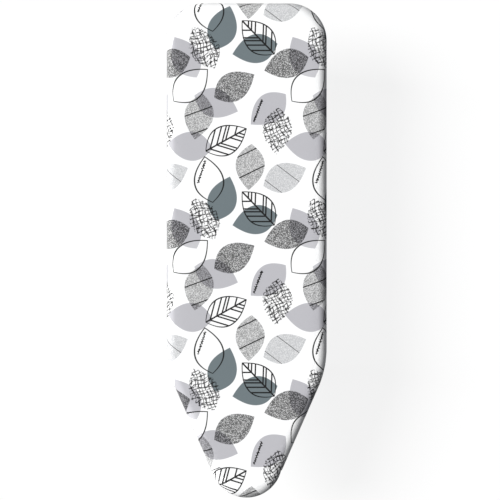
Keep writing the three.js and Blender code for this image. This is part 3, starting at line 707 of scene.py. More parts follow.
# %% Following the rim
def rim_of(bm):
    return [edge for edge in bm.edges if edge.is_boundary]


class RimVertex:
    """Where a vertex of the rim lies: the outline's point, the way out, and the way along."""

    def __init__(self, outline_point, away, along):
        self.outline_point = outline_point
        self.away = away
        self.along = along


def follow_rim(bm, inset):
    """Walks round the rim and returns {vertex: RimVertex} and the outline's length."""
    edges = rim_of(bm)
    start = edges[0].verts[0]
    rim = {}
    vert, before, along = start, None, 0.0
    while vert not in rim:
        away = outward(vert.co)
        rim[vert] = RimVertex(vert.co.xy.to_3d() + inset * away, away, along)
        ahead = next(
            e.other_vert(vert) for e in vert.link_edges
            if e.is_boundary and e.other_vert(vert) is not before
        )
        before, vert = vert, ahead
        away = outward(vert.co)
        along += (vert.co.xy.to_3d() + inset * away - rim[before].outline_point).length
    return rim, along


def neighbour_in(vert, known):
    """The neighbour of a vertex that is one of the known vertices."""
    return next(e.other_vert(vert) for e in vert.link_edges if e.other_vert(vert) in known)


def extend_rim(bm, rim, place_of):
    """Extrudes the rim, puts each new vertex where place_of says, and returns the new rim."""
    made = bmesh.ops.extrude_edge_only(bm, edges=rim_of(bm))
    new_rim = {}
    for vert in only(bmesh.types.BMVert, made["geom"]):
        new_rim[vert] = rim[neighbour_in(vert, rim)]
        vert.co = place_of(new_rim[vert])
    return new_rim


flat_place = bm.verts.layers.float_vector.new("flat_place")  # before the rim: it renews the vertices
rim, outline_length = follow_rim(bm, TOP_EDGE)
print("rim:", len(rim), "vertices, outline length:", round(outline_length, 3))

# %% [markdown]
# Elastic pulls the hem short, so the cloth under the board stands in small folds. The folds are
# deepest where the outline curves and there is most cloth to take up. A wave along the hem with an
# uneven phase makes folds of different widths.

# %% Gathers
FOLDS = 118  # round the whole hem
GATHER_DEPTH = 0.0016
rng = random.Random(7)
DRIFTS = [(count, rng.uniform(0.3, 1.0), rng.uniform(0, 2 * math.pi)) for count in (5, 9, 14, 23)]


def curved_share(away):
    """1 where the outline is a tight curve, less along the sides."""
    return 0.45 + 0.55 * min(1.0, 2.4 * abs(away.x) * abs(away.y) + 0.75 * away.y**2)


def fold(rim_vertex, length):
    """From 0 in a valley to 1 on a crest."""
    turn = 2 * math.pi * rim_vertex.along / length
    phase = FOLDS * turn + sum(size * math.sin(count * turn + at) for count, size, at in DRIFTS) * 2
    wave = 0.62 * math.sin(phase) + 0.24 * math.sin(2 * phase + 0.7) + 0.1 * math.sin(3 * phase)
    return (0.5 + 0.5 * wave) * curved_share(rim_vertex.away)


# %% [markdown]
# The profile is a list of rows: a quarter circle down from the top, another quarter circle in under
# the board, and the hem, which is nearly flat. The folds grow from row to row. Each row then becomes
# one extrusion of the rim.

# %% Growing the edge and the hem
EDGE_ROWS = 9
HEM_ROWS = 9
HEM_RISE = 0.0013  # the hem climbs a little towards its binding
used_at_low_edge = TOP_EDGE * math.pi / 2
used_at_hem = used_at_low_edge + LOW_EDGE * math.pi / 2


def smooth_step(value):
    value = min(max(value, 0.0), 1.0)
    return value * value * (3 - 2 * value)


profile = []  # (inset, height, cloth used, gather, the way the folds stand out)
for row in range(1, EDGE_ROWS + 1):
    angle = math.pi / 2 * row / EDGE_ROWS
    inset = TOP_EDGE * (1 - math.sin(angle))
    height = TOP - TOP_EDGE * (1 - math.cos(angle))
    gather = 0.05 * smooth_step(row / EDGE_ROWS)
    profile.append((inset, height, TOP_EDGE * angle, gather, (math.sin(angle), math.cos(angle))))
for row in range(1, EDGE_ROWS + 1):
    angle = math.pi / 2 * row / EDGE_ROWS
    inset = LOW_EDGE * (1 - math.cos(angle))
    height = UNDER + LOW_EDGE * (1 - math.sin(angle))
    gather = 0.05 + 0.4 * smooth_step(row / EDGE_ROWS)
    used = used_at_low_edge + LOW_EDGE * angle
    profile.append((inset, height, used, gather, (math.cos(angle), -math.sin(angle))))
for row in range(1, HEM_ROWS + 1):
    share = row / HEM_ROWS
    inset = LOW_EDGE + (HEM - LOW_EDGE) * share
    height = UNDER + HEM_RISE * smooth_step((share - 0.25) / 0.75)
    gather = 0.45 + 0.55 * smooth_step(share * 1.3)
    profile.append((inset, height, used_at_hem + inset - LOW_EDGE, gather, (0, -1)))

for vert in bm.verts:
    vert[flat_place] = vert.co
    rise = noise.noise(vert.co * 16) + 0.5 * noise.noise(vert.co * 45)
    if vert not in rim:
        vert.co.z += 0.0002 * (0.6 + rise)
for inset, height, used, gather, (out, up) in profile:
    def cloth_place(v, inset=inset, height=height, gather=gather, out=out, up=up):
        stand = GATHER_DEPTH * gather * fold(v, outline_length)
        place = v.outline_point + (stand * out - inset) * v.away
        return place + Vector((0, 0, height + stand * up))

    rim = extend_rim(bm, rim, cloth_place)
    for vert, v in rim.items():
        vert[flat_place] = v.outline_point + (used - TOP_EDGE) * v.away
print("cover:", len(bm.faces), "faces, cloth used past the flat top:", round(profile[-1][2], 4))

# %% [markdown]
# The flat cut becomes the UV map, in metres. Solidify gives the cloth its thickness inwards, so the
# outside stays where it is.

# %% Finishing the cover
def make_piece(name, bm, material):
    """Turns a bmesh into a smooth object at the origin, with its material."""
    bmesh.ops.recalc_face_normals(bm, faces=bm.faces[:])
    mesh = bpy.data.meshes.new(name)
    bm.to_mesh(mesh)
    bm.free()
    mesh.materials.append(material)
    mesh.shade_smooth()
    piece = bpy.data.objects.new(name, mesh)
    scene.collection.objects.link(piece)
    return piece


def stand_in(piece, node, body):
    """Ties a piece to its body, in place of the frame's plainer part."""
    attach(piece, body)
    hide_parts(node)


def lay_uv(bm, name, place):
    """Makes a UV map from a place that every vertex carries, and returns its layer."""
    layer = bm.loops.layers.uv.new(name)
    for face in bm.faces:
        for loop in face.loops:
            loop[layer].uv = loop.vert[place].xy
    return layer


uv_layer = lay_uv(bm, "flat_cut", flat_place)
bm.verts.layers.float_vector.remove(flat_place)
cover = make_piece("cotton_cover", bm, printed_cotton)
thick = cover.modifiers.new("cloth thickness", "SOLIDIFY")
thick.thickness = CLOTH
thick.offset = -1
stand_in(cover, "cover", "board")

# %% [markdown]
# ## Shared surface effects
# Painted steel, bare steel, rubber and plastic all have a fine grain and uneven patches, and all but
# the rubber wear along their edges. Both effects are groups, so each material only sets its own
# scales. The wear mask compares the true normal with one that a Bevel node has rounded: they differ
# only near an edge.

# %% Grain and wear groups
tree, given, end = new_group(
    "Surface grain",
    {"Place": ("vector", None), "Fine": ("value", 900.0), "Patch": ("value", 30.0)},
    {"Height": ("value", None), "Patches": ("value", None), "Specks": ("value", None)},
)
fine = put(tree, "TexNoise", {"Vector": given["Place"], "Scale": given["Fine"], "Detail": 3.0})
patch = put(tree, "TexNoise", {"Vector": given["Place"], "Scale": given["Patch"], "Detail": 5.0})
speck_scale = calc(tree, "MULTIPLY", given["Fine"], 0.35)
speck = put(tree, "TexNoise", {"Vector": given["Place"], "Scale": speck_scale, "Detail": 1.0})
patches = ramp(tree, patch, 0.35, 0.65)
feed(tree, end, {"Height": fine, "Patches": patches, "Specks": ramp(tree, speck, 0.66, 0.72)})
grain = tree

tree, given, end = new_group(
    "Edge wear",
    {"Place": ("vector", None), "Amount": ("value", 0.5)},
    {"Mask": ("value", None)},
)
rounded = put(tree, "Bevel", {"Radius": 0.0006}, samples=4)
true_normal = put(tree, "NewGeometry", output="Normal")
alike = put(
    tree, "VectorMath", {0: rounded, 1: true_normal}, output="Value", operation="DOT_PRODUCT"
)
at_edge = ramp(tree, alike, 0.995, 0.90)
broken = put(tree, "TexNoise", {"Vector": given["Place"], "Scale": 260.0, "Detail": 4.0})
limit = calc(tree, "SUBTRACT", 0.85, calc(tree, "MULTIPLY", given["Amount"], 0.5))
rubbed = ramp(tree, broken, limit, calc(tree, "ADD", limit, 0.06))
feed(tree, end, {"Mask": calc(tree, "MULTIPLY", at_edge, rubbed)})
edge_wear = tree


def grained(tree, fine, patch):
    """The piece's own coordinates, and the grain there."""
    place = put(tree, "TexCoord", output="Object")
    return place, use(tree, grain, {"Place": place, "Fine": fine, "Patch": patch})


def worn(tree, place, amount):
    """1 where the finish is rubbed off."""
    return use(tree, edge_wear, {"Place": place, "Amount": amount})["Mask"]


print("grain nodes:", len(grain.nodes), "edge wear nodes:", len(edge_wear.nodes))

# %% [markdown]
# The legs, the rails and the sheet are powder coated: a tough paint with a faint orange-peel surface,
# rubbed through here and there to darker steel along its edges.

# %% Powder coat
material, tree, shader = new_material("powder_coat", 0.42)
place, surface = grained(tree, 700.0, 25.0)
wear = worn(tree, place, 0.55)
paint = blend(tree, surface["Patches"], (0.60, 0.62, 0.635, 1), (0.66, 0.675, 0.685, 1))
finish = {
    "Base Color": blend(tree, wear, paint, (0.20, 0.195, 0.19, 1)),
    "Roughness": calc(tree, "MULTIPLY_ADD", surface["Patches"], 0.10, 0.36),
    "Metallic": calc(tree, "MULTIPLY", wear, 0.85),
    "Normal": relief(tree, 0.22, 0.0003, surface["Height"]),
}
feed(tree, shader, finish)
powder_coat = material
print("material:", material.name)

# %% [markdown]
# Pins, rivets, the bail and its clips are zinc-plated steel. Plating is bright but never even: it has
# cloudy patches that are a little bluer or yellower, fine turning marks and dull spots.

# %% Zinc-plated steel
material, tree, shader = new_material("zinc_steel", 0.3, metallic=1.0)
place, surface = grained(tree, 1600.0, 90.0)
wear = worn(tree, place, 0.7)
cloud = blend(tree, surface["Patches"], (0.56, 0.59, 0.63, 1), (0.66, 0.65, 0.61, 1))
dull = blend(tree, surface["Specks"], cloud, (0.42, 0.43, 0.44, 1))
finish = {
    "Base Color": blend(tree, wear, dull, (0.74, 0.75, 0.76, 1)),
    "Roughness": calc(tree, "MULTIPLY_ADD", surface["Patches"], 0.16, 0.24),
    "Normal": relief(tree, 0.15, 0.0001, surface["Height"]),
}
feed(tree, shader, finish)
zinc_steel = material
print("material:", material.name)

# %% [markdown]
# The feet are grey rubber, dull and slightly dusty near the table. The storage clip is moulded
# plastic with a fine spark-eroded texture, which keeps finger marks from showing.

# %% Rubber and plastic
DUSTY_HEIGHT = 0.006

material, tree, shader = new_material("grey_rubber", 0.8)
place, surface = grained(tree, 1100.0, 120.0)
rubber = blend(tree, surface["Patches"], (0.060, 0.066, 0.072, 1), (0.085, 0.090, 0.096, 1))
low_down = ramp(tree, parts_of(tree, place)["Z"], 0.0, DUSTY_HEIGHT, 1.0, 0.0)
dust = calc(tree, "MULTIPLY", low_down, calc(tree, "MULTIPLY", surface["Patches"], 0.5))
finish = {
    "Base Color": blend(tree, dust, rubber, (0.34, 0.33, 0.31, 1)),
    "Roughness": calc(tree, "MULTIPLY_ADD", surface["Patches"], 0.12, 0.72),
    "Normal": relief(tree, 0.35, 0.0003, surface["Height"]),
}
feed(tree, shader, finish)
grey_rubber = material

material, tree, shader = new_material("grey_plastic", 0.5)
place, surface = grained(tree, 1900.0, 60.0)
wear = worn(tree, place, 0.4)
moulded = blend(tree, surface["Patches"], (0.145, 0.165, 0.180, 1), (0.165, 0.185, 0.200, 1))
finish = {
    "Base Color": blend(tree, wear, moulded, (0.27, 0.29, 0.31, 1)),
    "Roughness": calc(tree, "MULTIPLY_ADD", surface["Patches"], 0.12, 0.44),
    "Normal": relief(tree, 0.3, 0.0002, surface["Height"]),
}
feed(tree, shader, finish)
grey_plastic = material
print("materials:", grey_rubber.name, grey_plastic.name)

# %% [markdown]
# Felt is a mat of fibres of several greys that lie in every direction. Noise stretched along three
# directions gives the fibres, and it also lifts them a little. Foam shows its cut cells, and painted
# shade darkens the hollow in the middle of each cell.

# %% Felt and foam
FIBRE_TURNS = (25, 115, 70)  # degrees

material, tree, shader = new_material("felt", 1.0)
place, surface = grained(tree, 500.0, 40.0)
fibres = 0.0
for turn in FIBRE_TURNS:
    stretch = {
        "Vector": place,
        "Rotation": (0, 0, math.radians(turn)),
        "Scale": (120.0, 1400.0, 400.0),
    }
    streaks = put(
        tree, "TexNoise", {"Vector": put(tree, "Mapping", stretch), "Scale": 1.0, "Detail": 2.0}
    )
    fibres = calc(tree, "MAXIMUM", streaks, fibres)
flecks = ramp(tree, fibres, 0.5, 0.75)
wool = blend(tree, flecks, (0.36, 0.36, 0.35, 1), (0.58, 0.58, 0.56, 1))
finish = {
    "Base Color": blend(tree, surface["Specks"], wool, (0.16, 0.17, 0.19, 1)),
    "Normal": relief(tree, 0.6, 0.0006, fibres),
    "Sheen Weight": 0.3,
}
feed(tree, shader, finish)
felt_grey = material
print("material:", material.name)

material, tree, shader = new_material("foam", 0.95)
place, surface = grained(tree, 400.0, 20.0)
cells = put(tree, "TexVoronoi", {"Vector": place, "Scale": 1100.0})
cream = blend(tree, surface["Patches"], (0.74, 0.67, 0.50, 1), (0.80, 0.74, 0.58, 1))
# painted shade: each cell's middle, a pit in the bump, is darkened
pore_shade = ramp(tree, cells, 0.0, 0.35, 0.55, 1.0)
finish = {
    "Base Color": blend(tree, 1.0, cream, pore_shade, "MULTIPLY"),
    "Normal": relief(tree, 0.5, 0.0005, cells),
}
feed(tree, shader, finish)
cream_foam = material
print("material:", material.name)

# %% [markdown]
# The binding is a ribbed tape that is slightly soiled. It reads a UV map that runs along the tape, so
# that the ribs follow it round the board. Its stitches are of a thread plied from two greys.

# %% Tape and thread
RIB = 0.9  # the tape's rib pitch, in millimetres

material, tree, shader = new_material("binding_tape", 0.9)
uv = put(tree, "UVMap", uv_map="along_tape")
place = put(tree, "VectorMath", {0: uv, "Scale": MM}, operation="SCALE")
threads = use(tree, weave, {"Place": place, "Thread": 0.36, "Slub": 0.5})
along = parts_of(tree, place)["X"]
rib = calc(tree, "SINE", calc(tree, "MULTIPLY", along, 2 * math.pi / RIB))
height = calc(tree, "MULTIPLY_ADD", rib, 0.5, threads["Height"])
tape = blend(tree, 1.0, (0.80, 0.80, 0.81, 1), threads["Shade"], "MULTIPLY")
soiled = put(tree, "TexNoise", {"Vector": uv, "Scale": 25.0, "Detail": 4.0})
soil = ramp(tree, soiled, 0.5, 0.8, 0.0, 0.35)
finish = {
    "Base Color": blend(tree, soil, tape, (0.62, 0.61, 0.58, 1)),
    "Normal": relief(tree, 0.5, 0.0003, height),
    "Sheen Weight": 0.15,
}
feed(tree, shader, finish)
binding_tape = material

material, tree, shader = new_material("stitch_thread", 0.7)
place = put(tree, "TexCoord", output="Object")
ply = put(tree, "TexNoise", {"Vector": place, "Scale": 2500.0, "Detail": 1.0})
feed(tree, shader, {"Base Color": blend(tree, ply, (0.55, 0.56, 0.58, 1), grey(0.80))})
thread_material = material
print("materials:", binding_tape.name, thread_material.name)

# %% [markdown]
# ## Binding
# The hem's edge is folded into a tape that holds the elastic, and the tape is ruffled where the elastic
# pulls it short. It is grown like the hem, from a rim that is extruded round a circle and closed on
# itself. The flat shape that the rim came from is then thrown away.

# %% Gathered binding
binding_low, binding_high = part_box("elastic_binding")
BINDING_RADIUS = (binding_high[2] - binding_low[2]) / 2
BINDING_HEIGHT = (binding_high[2] + binding_low[2]) / 2
BINDING_INSET = HALF_WIDTH - binding_high[0] + BINDING_RADIUS
BINDING_SIDES = 12
BINDING_STEP = 0.0011
RUFFLES = 330  # round the whole hem


def bind_section(v, angle, length):
    """A point of the ruffled tape, at an angle round its section."""
    turn = 2 * math.pi * v.along / length
    ruffle = math.sin(RUFFLES * turn + 1.5 * math.sin(11 * turn) + math.sin(27 * turn + 2))
    radius = BINDING_RADIUS * (1 + 0.11 * ruffle * (0.6 + 0.4 * math.cos(angle - 4)))
    flatter = 0.92 if math.sin(angle) < 0 else 1.0
    out = radius * math.cos(angle) - BINDING_INSET
    sway = 0.0003 * (fold(v, length) - 0.5)
    height = BINDING_HEIGHT + radius * flatter * math.sin(angle) + sway
    return v.outline_point + out * v.away + Vector((0, 0, height))


bm = flat_board(BINDING_INSET - BINDING_RADIUS, BINDING_HEIGHT, BINDING_STEP, COVER_ACROSS)
tape_place = bm.verts.layers.float_vector.new("tape_place")
flat_faces = bm.faces[:]
rim, binding_length = follow_rim(bm, BINDING_INSET - BINDING_RADIUS)
for vert, v in rim.items():
    vert.co = bind_section(v, 0.0, binding_length)
    vert[tape_place] = (v.along, 0, 0)
for side in range(1, BINDING_SIDES + 1):
    angle = 2 * math.pi * side / BINDING_SIDES

    def tape_point(v, angle=angle):
        return bind_section(v, angle, binding_length)

    rim = extend_rim(bm, rim, tape_point)
    for vert, v in rim.items():
        vert[tape_place] = (v.along, BINDING_RADIUS * angle, 0)
bmesh.ops.delete(bm, geom=flat_faces, context="FACES")
lay_uv(bm, "along_tape", tape_place)
bmesh.ops.remove_doubles(bm, verts=bm.verts[:], dist=TOUCHING)
bm.verts.layers.float_vector.remove(bm.verts.layers.float_vector["tape_place"])
binding = make_piece("gathered_binding", bm, binding_tape)
stand_in(binding, "elastic_binding", "board")
print("binding:", len(binding.data.polygons), "faces, length:", round(binding_length, 3))

# %% [markdown]
# A row of small stitches runs along the tape's underside. Each is a squashed ball of twenty faces,
# turned along the hem: there are hundreds, so they must be light.

# %% Stitches
STITCH_PITCH = 0.0042
STITCH_SIZE = (0.0012, 0.00028, 0.00022)  # half sizes along, across and up

guide = flat_board(BINDING_INSET, BINDING_HEIGHT, STITCH_PITCH, COVER_ACROSS)
guide_rim, guide_length = follow_rim(guide, BINDING_INSET)
bm = bmesh.new()
for v in guide_rim.values():
    bottom = bind_section(v, -math.pi / 2 - 0.35, guide_length)
    along = Matrix.Rotation(math.atan2(v.away.x, -v.away.y), 4, "Z")
    place = Matrix.Translation(bottom) @ along @ Matrix.Diagonal((*STITCH_SIZE, 1))
    bmesh.ops.create_icosphere(bm, subdivisions=1, radius=1, matrix=place)
guide.free()
stitches = make_piece("hem_stitches", bm, thread_material)
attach(stitches, "board")
print("stitches:", len(guide_rim))

# %% [markdown]
# ## Foam and felt
# Under the cotton lies a foam pad with a rounded top edge, and under the foam a felt that keeps the
# steam from wetting the sheet. The foam's top is slightly uneven. Neither shows from above, but the
# felt is seen through the sheet's holes from below.

# %% Foam pad
foam_low, foam_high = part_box("foam_pad")
FOAM_EDGE = 0.0099  # rounding of the foam's edge
FOAM_ROWS = 6
FOAM_ACROSS = 16
PAD_STEP = 0.004
foam_depth = foam_high[2] - foam_low[2]
last_angle = math.acos(1 - foam_depth / FOAM_EDGE)
bm = flat_board(TOP_EDGE, foam_high[2], PAD_STEP, FOAM_ACROSS)
rim, _ = follow_rim(bm, TOP_EDGE)
for vert in bm.verts:
    if vert not in rim:
        vert.co.z -= 0.0001 * (1 + noise.noise(vert.co * 30))
for row in range(1, FOAM_ROWS + 1):
    angle = last_angle * row / FOAM_ROWS

    def foam_point(v, angle=angle):
        inset = TOP_EDGE - FOAM_EDGE * math.sin(angle)
        height = foam_high[2] - FOAM_EDGE * (1 - math.cos(angle))
        return v.outline_point - inset * v.away + Vector((0, 0, height))

    rim = extend_rim(bm, rim, foam_point)
bmesh.ops.holes_fill(bm, edges=rim_of(bm), sides=0)
foam_pad = make_piece("foam_layer", bm, cream_foam)
stand_in(foam_pad, "foam_pad", "board")
print("foam:", len(foam_pad.data.polygons), "faces")

# %% [markdown]
# The felt is the same outline, cut further in. An extrusion raises it to its thickness, a bevel
# softens its upper edge, and noise keeps its faces from being quite flat. Its flat area is measured
# before it gets its thickness.

# %% Felt underlay
FELT_ACROSS = 20
felt_low, felt_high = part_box("felt_underlay")
felt_inset = HALF_WIDTH - felt_high[0]
bm = flat_board(felt_inset, felt_low[2], PAD_STEP, FELT_ACROSS)
felt_area = sum(face.calc_area() for face in bm.faces)
lower = bm.faces[:]
raised = bmesh.ops.extrude_face_region(bm, geom=lower)
upper = only(bmesh.types.BMVert, raised["geom"])
bmesh.ops.translate(bm, verts=upper, vec=(0, 0, felt_high[2] - felt_low[2]))
upper_set = set(upper)
bm.normal_update()
top_edges = [
    e for e in bm.edges
    if all(v in upper_set for v in e.verts) and any(abs(f.normal.z) < 0.5 for f in e.link_faces)
]
bmesh.ops.bevel(
    bm, geom=top_edges, offset=0.0006, segments=2, profile=0.5, affect="EDGES", material=-1
)
for vert in bm.verts:
    vert.co.z += 0.00012 * noise.noise(vert.co * 60)
felt = make_piece("felt_layer", bm, felt_grey)
stand_in(felt, "felt_underlay", "board")
print("felt:", len(felt.data.polygons), "faces, flat area:", round(felt_area, 4))

# %% [markdown]
# ## Turned parts
# A rivet or a pin is a profile turned about its axis, which is what a spin does. The profile is a
# chain of vertices from the axis to the axis. The domed heads are arcs, and the rivets' tails have
# the small hollow that the riveting tool leaves.

# %% Rivets and pins
SHANK = 0.0015  # radius, as HEAD and TAIL
HEAD = 0.0032
TAIL = 0.0024
HEAD_HEIGHT = 0.0016
TAIL_HEIGHT = 0.001
PIN_SHANK = 0.0025
PIN_HEAD = 0.0045
RIM_SHARE = 0.3  # of a head's height that is its upright rim
DOME_STEPS = 6
TURN_STEPS = 28


def box_of(node):
    """The low and the high corner of a part of the frame."""
    return [Vector(corner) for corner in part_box(node)]


def dome(radius, base, height):
    """From a head's rim up over its dome to the axis, as (radius, height) pairs."""
    points = [(radius * 0.97, base)]
    for step in range(DOME_STEPS + 1):
        angle = math.pi / 2 * step / DOME_STEPS
        lift = height * (RIM_SHARE + (1 - RIM_SHARE) * math.sin(angle))
        points.append((radius * math.cos(angle), base + lift))
    return points


def turned_piece(name, profile, axis, origin, material):
    """Spins a profile about the local Z axis, then lays that axis along the given direction."""
    bm = bmesh.new()
    verts = [bm.verts.new((radius, 0, height)) for radius, height in profile]
    edges = [bm.edges.new(pair) for pair in zip(verts, verts[1:])]
    bmesh.ops.spin(
        bm, geom=verts + edges, cent=(0, 0, 0), axis=(0, 0, 1), dvec=(0, 0, 0),
        angle=2 * math.pi, steps=TURN_STEPS, use_merge=True, use_duplicate=False,
    )
    bmesh.ops.remove_doubles(bm, verts=bm.verts[:], dist=TOUCHING / 2)
    turn = Vector(axis).to_track_quat("Z", "Y").to_matrix().to_4x4()
    bmesh.ops.transform(bm, matrix=Matrix.Translation(origin) @ turn, verts=bm.verts[:])
    return make_piece(name, bm, material)


def rivet_profile(length):
    """A rivet with its tail at 0 and the top of its head at its full length."""
    hollow = [(0, 0.0005), (SHANK * 0.45, 0.0004), (SHANK * 0.8, 0.0)]
    tail = [(TAIL * 0.85, 0.0), (TAIL, 0.0002), (TAIL, TAIL_HEIGHT), (SHANK, TAIL_HEIGHT)]
    base = length - HEAD_HEIGHT
    return hollow + tail + [(SHANK, base)] + dome(HEAD, base, HEAD_HEIGHT)


def add_rivet(node, axis):
    """Makes a rivet in the place of a CAD node, with its head towards the axis's end."""
    low, high = box_of(node)
    axis = Vector(axis)
    middle = (low + high) / 2
    length = abs((high - low).dot(axis))
    piece = turned_piece(
        node + "_turned", rivet_profile(length), axis, middle - axis * length / 2, zinc_steel
    )
    stand_in(piece, node, "board")


for end_name, towards_leg in (("front", 1), ("rear", -1)):
    for hand in ("left", "right"):
        for part in ("inner", "outer"):
            add_rivet(f"{end_name}_{hand}_{part}_rivet", (0, towards_leg, 0))
        node = f"{end_name}_{hand}_pivot_pin"
        low, high = box_of(node)
        half = (high.x - low.x) / 2
        head_base = half - HEAD_HEIGHT
        upper_half = [(PIN_SHANK, head_base)] + dome(PIN_HEAD, head_base, HEAD_HEIGHT)
        lower_half = [(radius, -height) for radius, height in reversed(upper_half)]
        pin = turned_piece(
            node + "_turned", lower_half + upper_half, (1, 0, 0), (low + high) / 2, zinc_steel
        )
        stand_in(pin, node, "board")
for node in ("clip_rivet", "left_bail_rivet", "right_bail_rivet"):
    add_rivet(node, (0, 0, -1))
print("turned parts: 11 rivets and 4 pins")

# %% [markdown]
# ## Bent tubes and wire
# A bent tube is drawn the way a bender makes it: a ring of edges runs straight, then turns about the
# bend's centre, then runs straight again. Half of each leg is drawn and mirrored. Its upper end is
# flattened to a lug, which the pin goes through.

# %% Drawing a tube
def ring_of(bm, radius, sides, matrix):
    """A circle of edges, without a face."""
    made = bmesh.ops.create_circle(bm, cap_ends=False, segments=sides, radius=radius, matrix=matrix)
    edges = {edge for vert in made["verts"] for edge in vert.link_edges}
    return list(edges)


def mirror_half(bm):
    """Adds the right half of a piece to its left half."""
    everything = bm.verts[:] + bm.edges[:] + bm.faces[:]
    bmesh.ops.mirror(bm, geom=everything, merge_dist=TOUCHING, axis="X")


def run_ring(bm, ring, move):
    """Extrudes a ring straight along a vector, and returns the new ring."""
    made = bmesh.ops.extrude_edge_only(bm, edges=ring)
    verts = only(bmesh.types.BMVert, made["geom"])
    bmesh.ops.translate(bm, verts=verts, vec=move)
    new = set(verts)
    return [edge for edge in only(bmesh.types.BMEdge, made["geom"]) if set(edge.verts) <= new]


def turn_ring(bm, ring, centre, axis, degrees, steps):
    """Turns a ring about a bend's centre, and returns the last ring."""
    verts = list({vert for edge in ring for vert in edge.verts})
    spun = bmesh.ops.spin(
        bm, geom=verts + ring, cent=centre, axis=axis, dvec=(0, 0, 0),
        angle=math.radians(degrees), steps=steps, use_merge=False, use_duplicate=False,
    )
    return only(bmesh.types.BMEdge, spun["geom_last"])


TUBE = 0.005  # radius
TUBE_SIDES = 28
LEG_BEND = 0.014  # radius of both bends
SHOULDER_STEPS = 3
CORNER_STEPS = 14
SHOULDER = 0.026  # pivot to the point where the leg starts to lean outwards
FLAT_END = 0.020  # pivot to the end of the round tube
LUG_HALF = (0.003, 0.0065)  # across the board, and along it
FOOT_HALF_WIDTH = 0.05985
HINGE_X = 0.04985
LUG_SHAPE = (  # below the pivot, and how flat from 0 to 1
    (0.0175, 0.35), (0.015, 0.75), (0.0125, 1.0), (0.006, 1.0), (0.0, 1.0)
)
LUG_END = (20, 38, 54, 68, 79, 86)  # degrees round the lug's end


def leg_half(bm, reach):
    """The left half of a leg: pivot at the origin's height, foot bar at -reach, both along X."""
    flare = FOOT_HALF_WIDTH - HINGE_X
    lean = math.atan2(flare, reach - SHOULDER)
    lean_degrees = math.degrees(lean)
    upright = Matrix.Translation((-HINGE_X, 0, -FLAT_END))
    ring = ring_of(bm, TUBE, TUBE_SIDES, upright)
    top_ring = ring
    first_cut = LEG_BEND * math.tan(lean / 2)
    down = -(SHOULDER - FLAT_END - first_cut)
    ring = run_ring(bm, ring, (0, 0, down))
    centre = Vector((-HINGE_X - LEG_BEND, 0, -FLAT_END + down))
    ring = turn_ring(bm, ring, centre, (0, 1, 0), lean_degrees, SHOULDER_STEPS)
    second_cut = LEG_BEND * math.tan((math.pi / 2 + lean) / 2)
    slope = math.hypot(flare, reach - SHOULDER) - first_cut - second_cut
    heading_down = Vector((-math.sin(lean), 0, -math.cos(lean)))
    ring = run_ring(bm, ring, heading_down * slope)
    corner = Vector((-FOOT_HALF_WIDTH, 0, -reach))
    bend_start = corner - heading_down * second_cut
    inward = Vector((math.cos(lean), 0, -math.sin(lean)))
    centre = bend_start + inward * LEG_BEND
    ring = turn_ring(bm, ring, centre, (0, -1, 0), 90 + lean_degrees, CORNER_STEPS)
    end_x = corner.x + second_cut
    run_ring(bm, ring, (-end_x, 0, 0))
    return top_ring


def flatten_lug(bm, ring):
    """Carries the top ring up and squeezes it from a circle into a flat lug with a round end."""
    verts = {vert for edge in ring for vert in edge.verts}
    angles = {vert: math.atan2(vert.co.y, vert.co.x + HINGE_X) for vert in verts}
    rows = [(-down, flat, 1.0) for down, flat in LUG_SHAPE]
    for degrees in LUG_END:
        angle = math.radians(degrees)
        rows.append((LUG_HALF[1] * math.sin(angle), 1.0, math.cos(angle)))
    for height, flat, width in rows:
        ring = run_ring(bm, ring, (0, 0, 0))
        new = {vert for edge in ring for vert in edge.verts}
        angles = {vert: angles[neighbour_in(vert, angles)] for vert in new}
        for vert, angle in angles.items():
            cos, sin = math.cos(angle), math.sin(angle)
            flat_x = LUG_HALF[0] * math.copysign(abs(cos) ** 0.3, cos)
            flat_y = LUG_HALF[1] * math.copysign(abs(sin) ** 0.85, sin) * width
            x = TUBE * cos * (1 - flat) + flat_x * flat
            y = TUBE * sin * (1 - flat) + flat_y * flat
            vert.co = (x - HINGE_X, y, height)
    bmesh.ops.contextual_create(bm, geom=ring)


print("tube helpers ready")

# %% [markdown]
# Hard parts need crisp edges and smooth round faces at once. A small geometry node group shades an
# object smooth everywhere but where its faces meet at a large angle. The frame's parts also get a
# Weld, because their triangles are loose, and a Bevel that rounds their edges a little.

# %% Smooth shading and rounded edges
CREASE = math.radians(32)

shading = bpy.data.node_groups.new("Smooth below an angle", "GeometryNodeTree")
shading.interface.new_socket("Geometry", in_out="INPUT", socket_type="NodeSocketGeometry")
shading.interface.new_socket("Geometry", in_out="OUTPUT", socket_type="NodeSocketGeometry")
start = shading.nodes.new("NodeGroupInput")
end = shading.nodes.new("NodeGroupOutput")
edge_angle = shading.nodes.new("GeometryNodeInputMeshEdgeAngle")
below = shading.nodes.new("FunctionNodeCompare")
below.operation = "LESS_THAN"
below.inputs[1].default_value = CREASE
faces_smooth = shading.nodes.new("GeometryNodeSetShadeSmooth")
faces_smooth.domain = "FACE"
edges_smooth = shading.nodes.new("GeometryNodeSetShadeSmooth")
edges_smooth.domain = "EDGE"
shading.links.new(edge_angle.outputs["Unsigned Angle"], below.inputs[0])
shading.links.new(start.outputs[0], faces_smooth.inputs["Geometry"])
shading.links.new(faces_smooth.outputs[0], edges_smooth.inputs["Geometry"])
shading.links.new(below.outputs[0], edges_smooth.inputs["Shade Smooth"])
shading.links.new(edges_smooth.outputs[0], end.inputs[0])


def shade_hard_part(piece):
    piece.modifiers.new("smooth below an angle", "NODES").node_group = shading


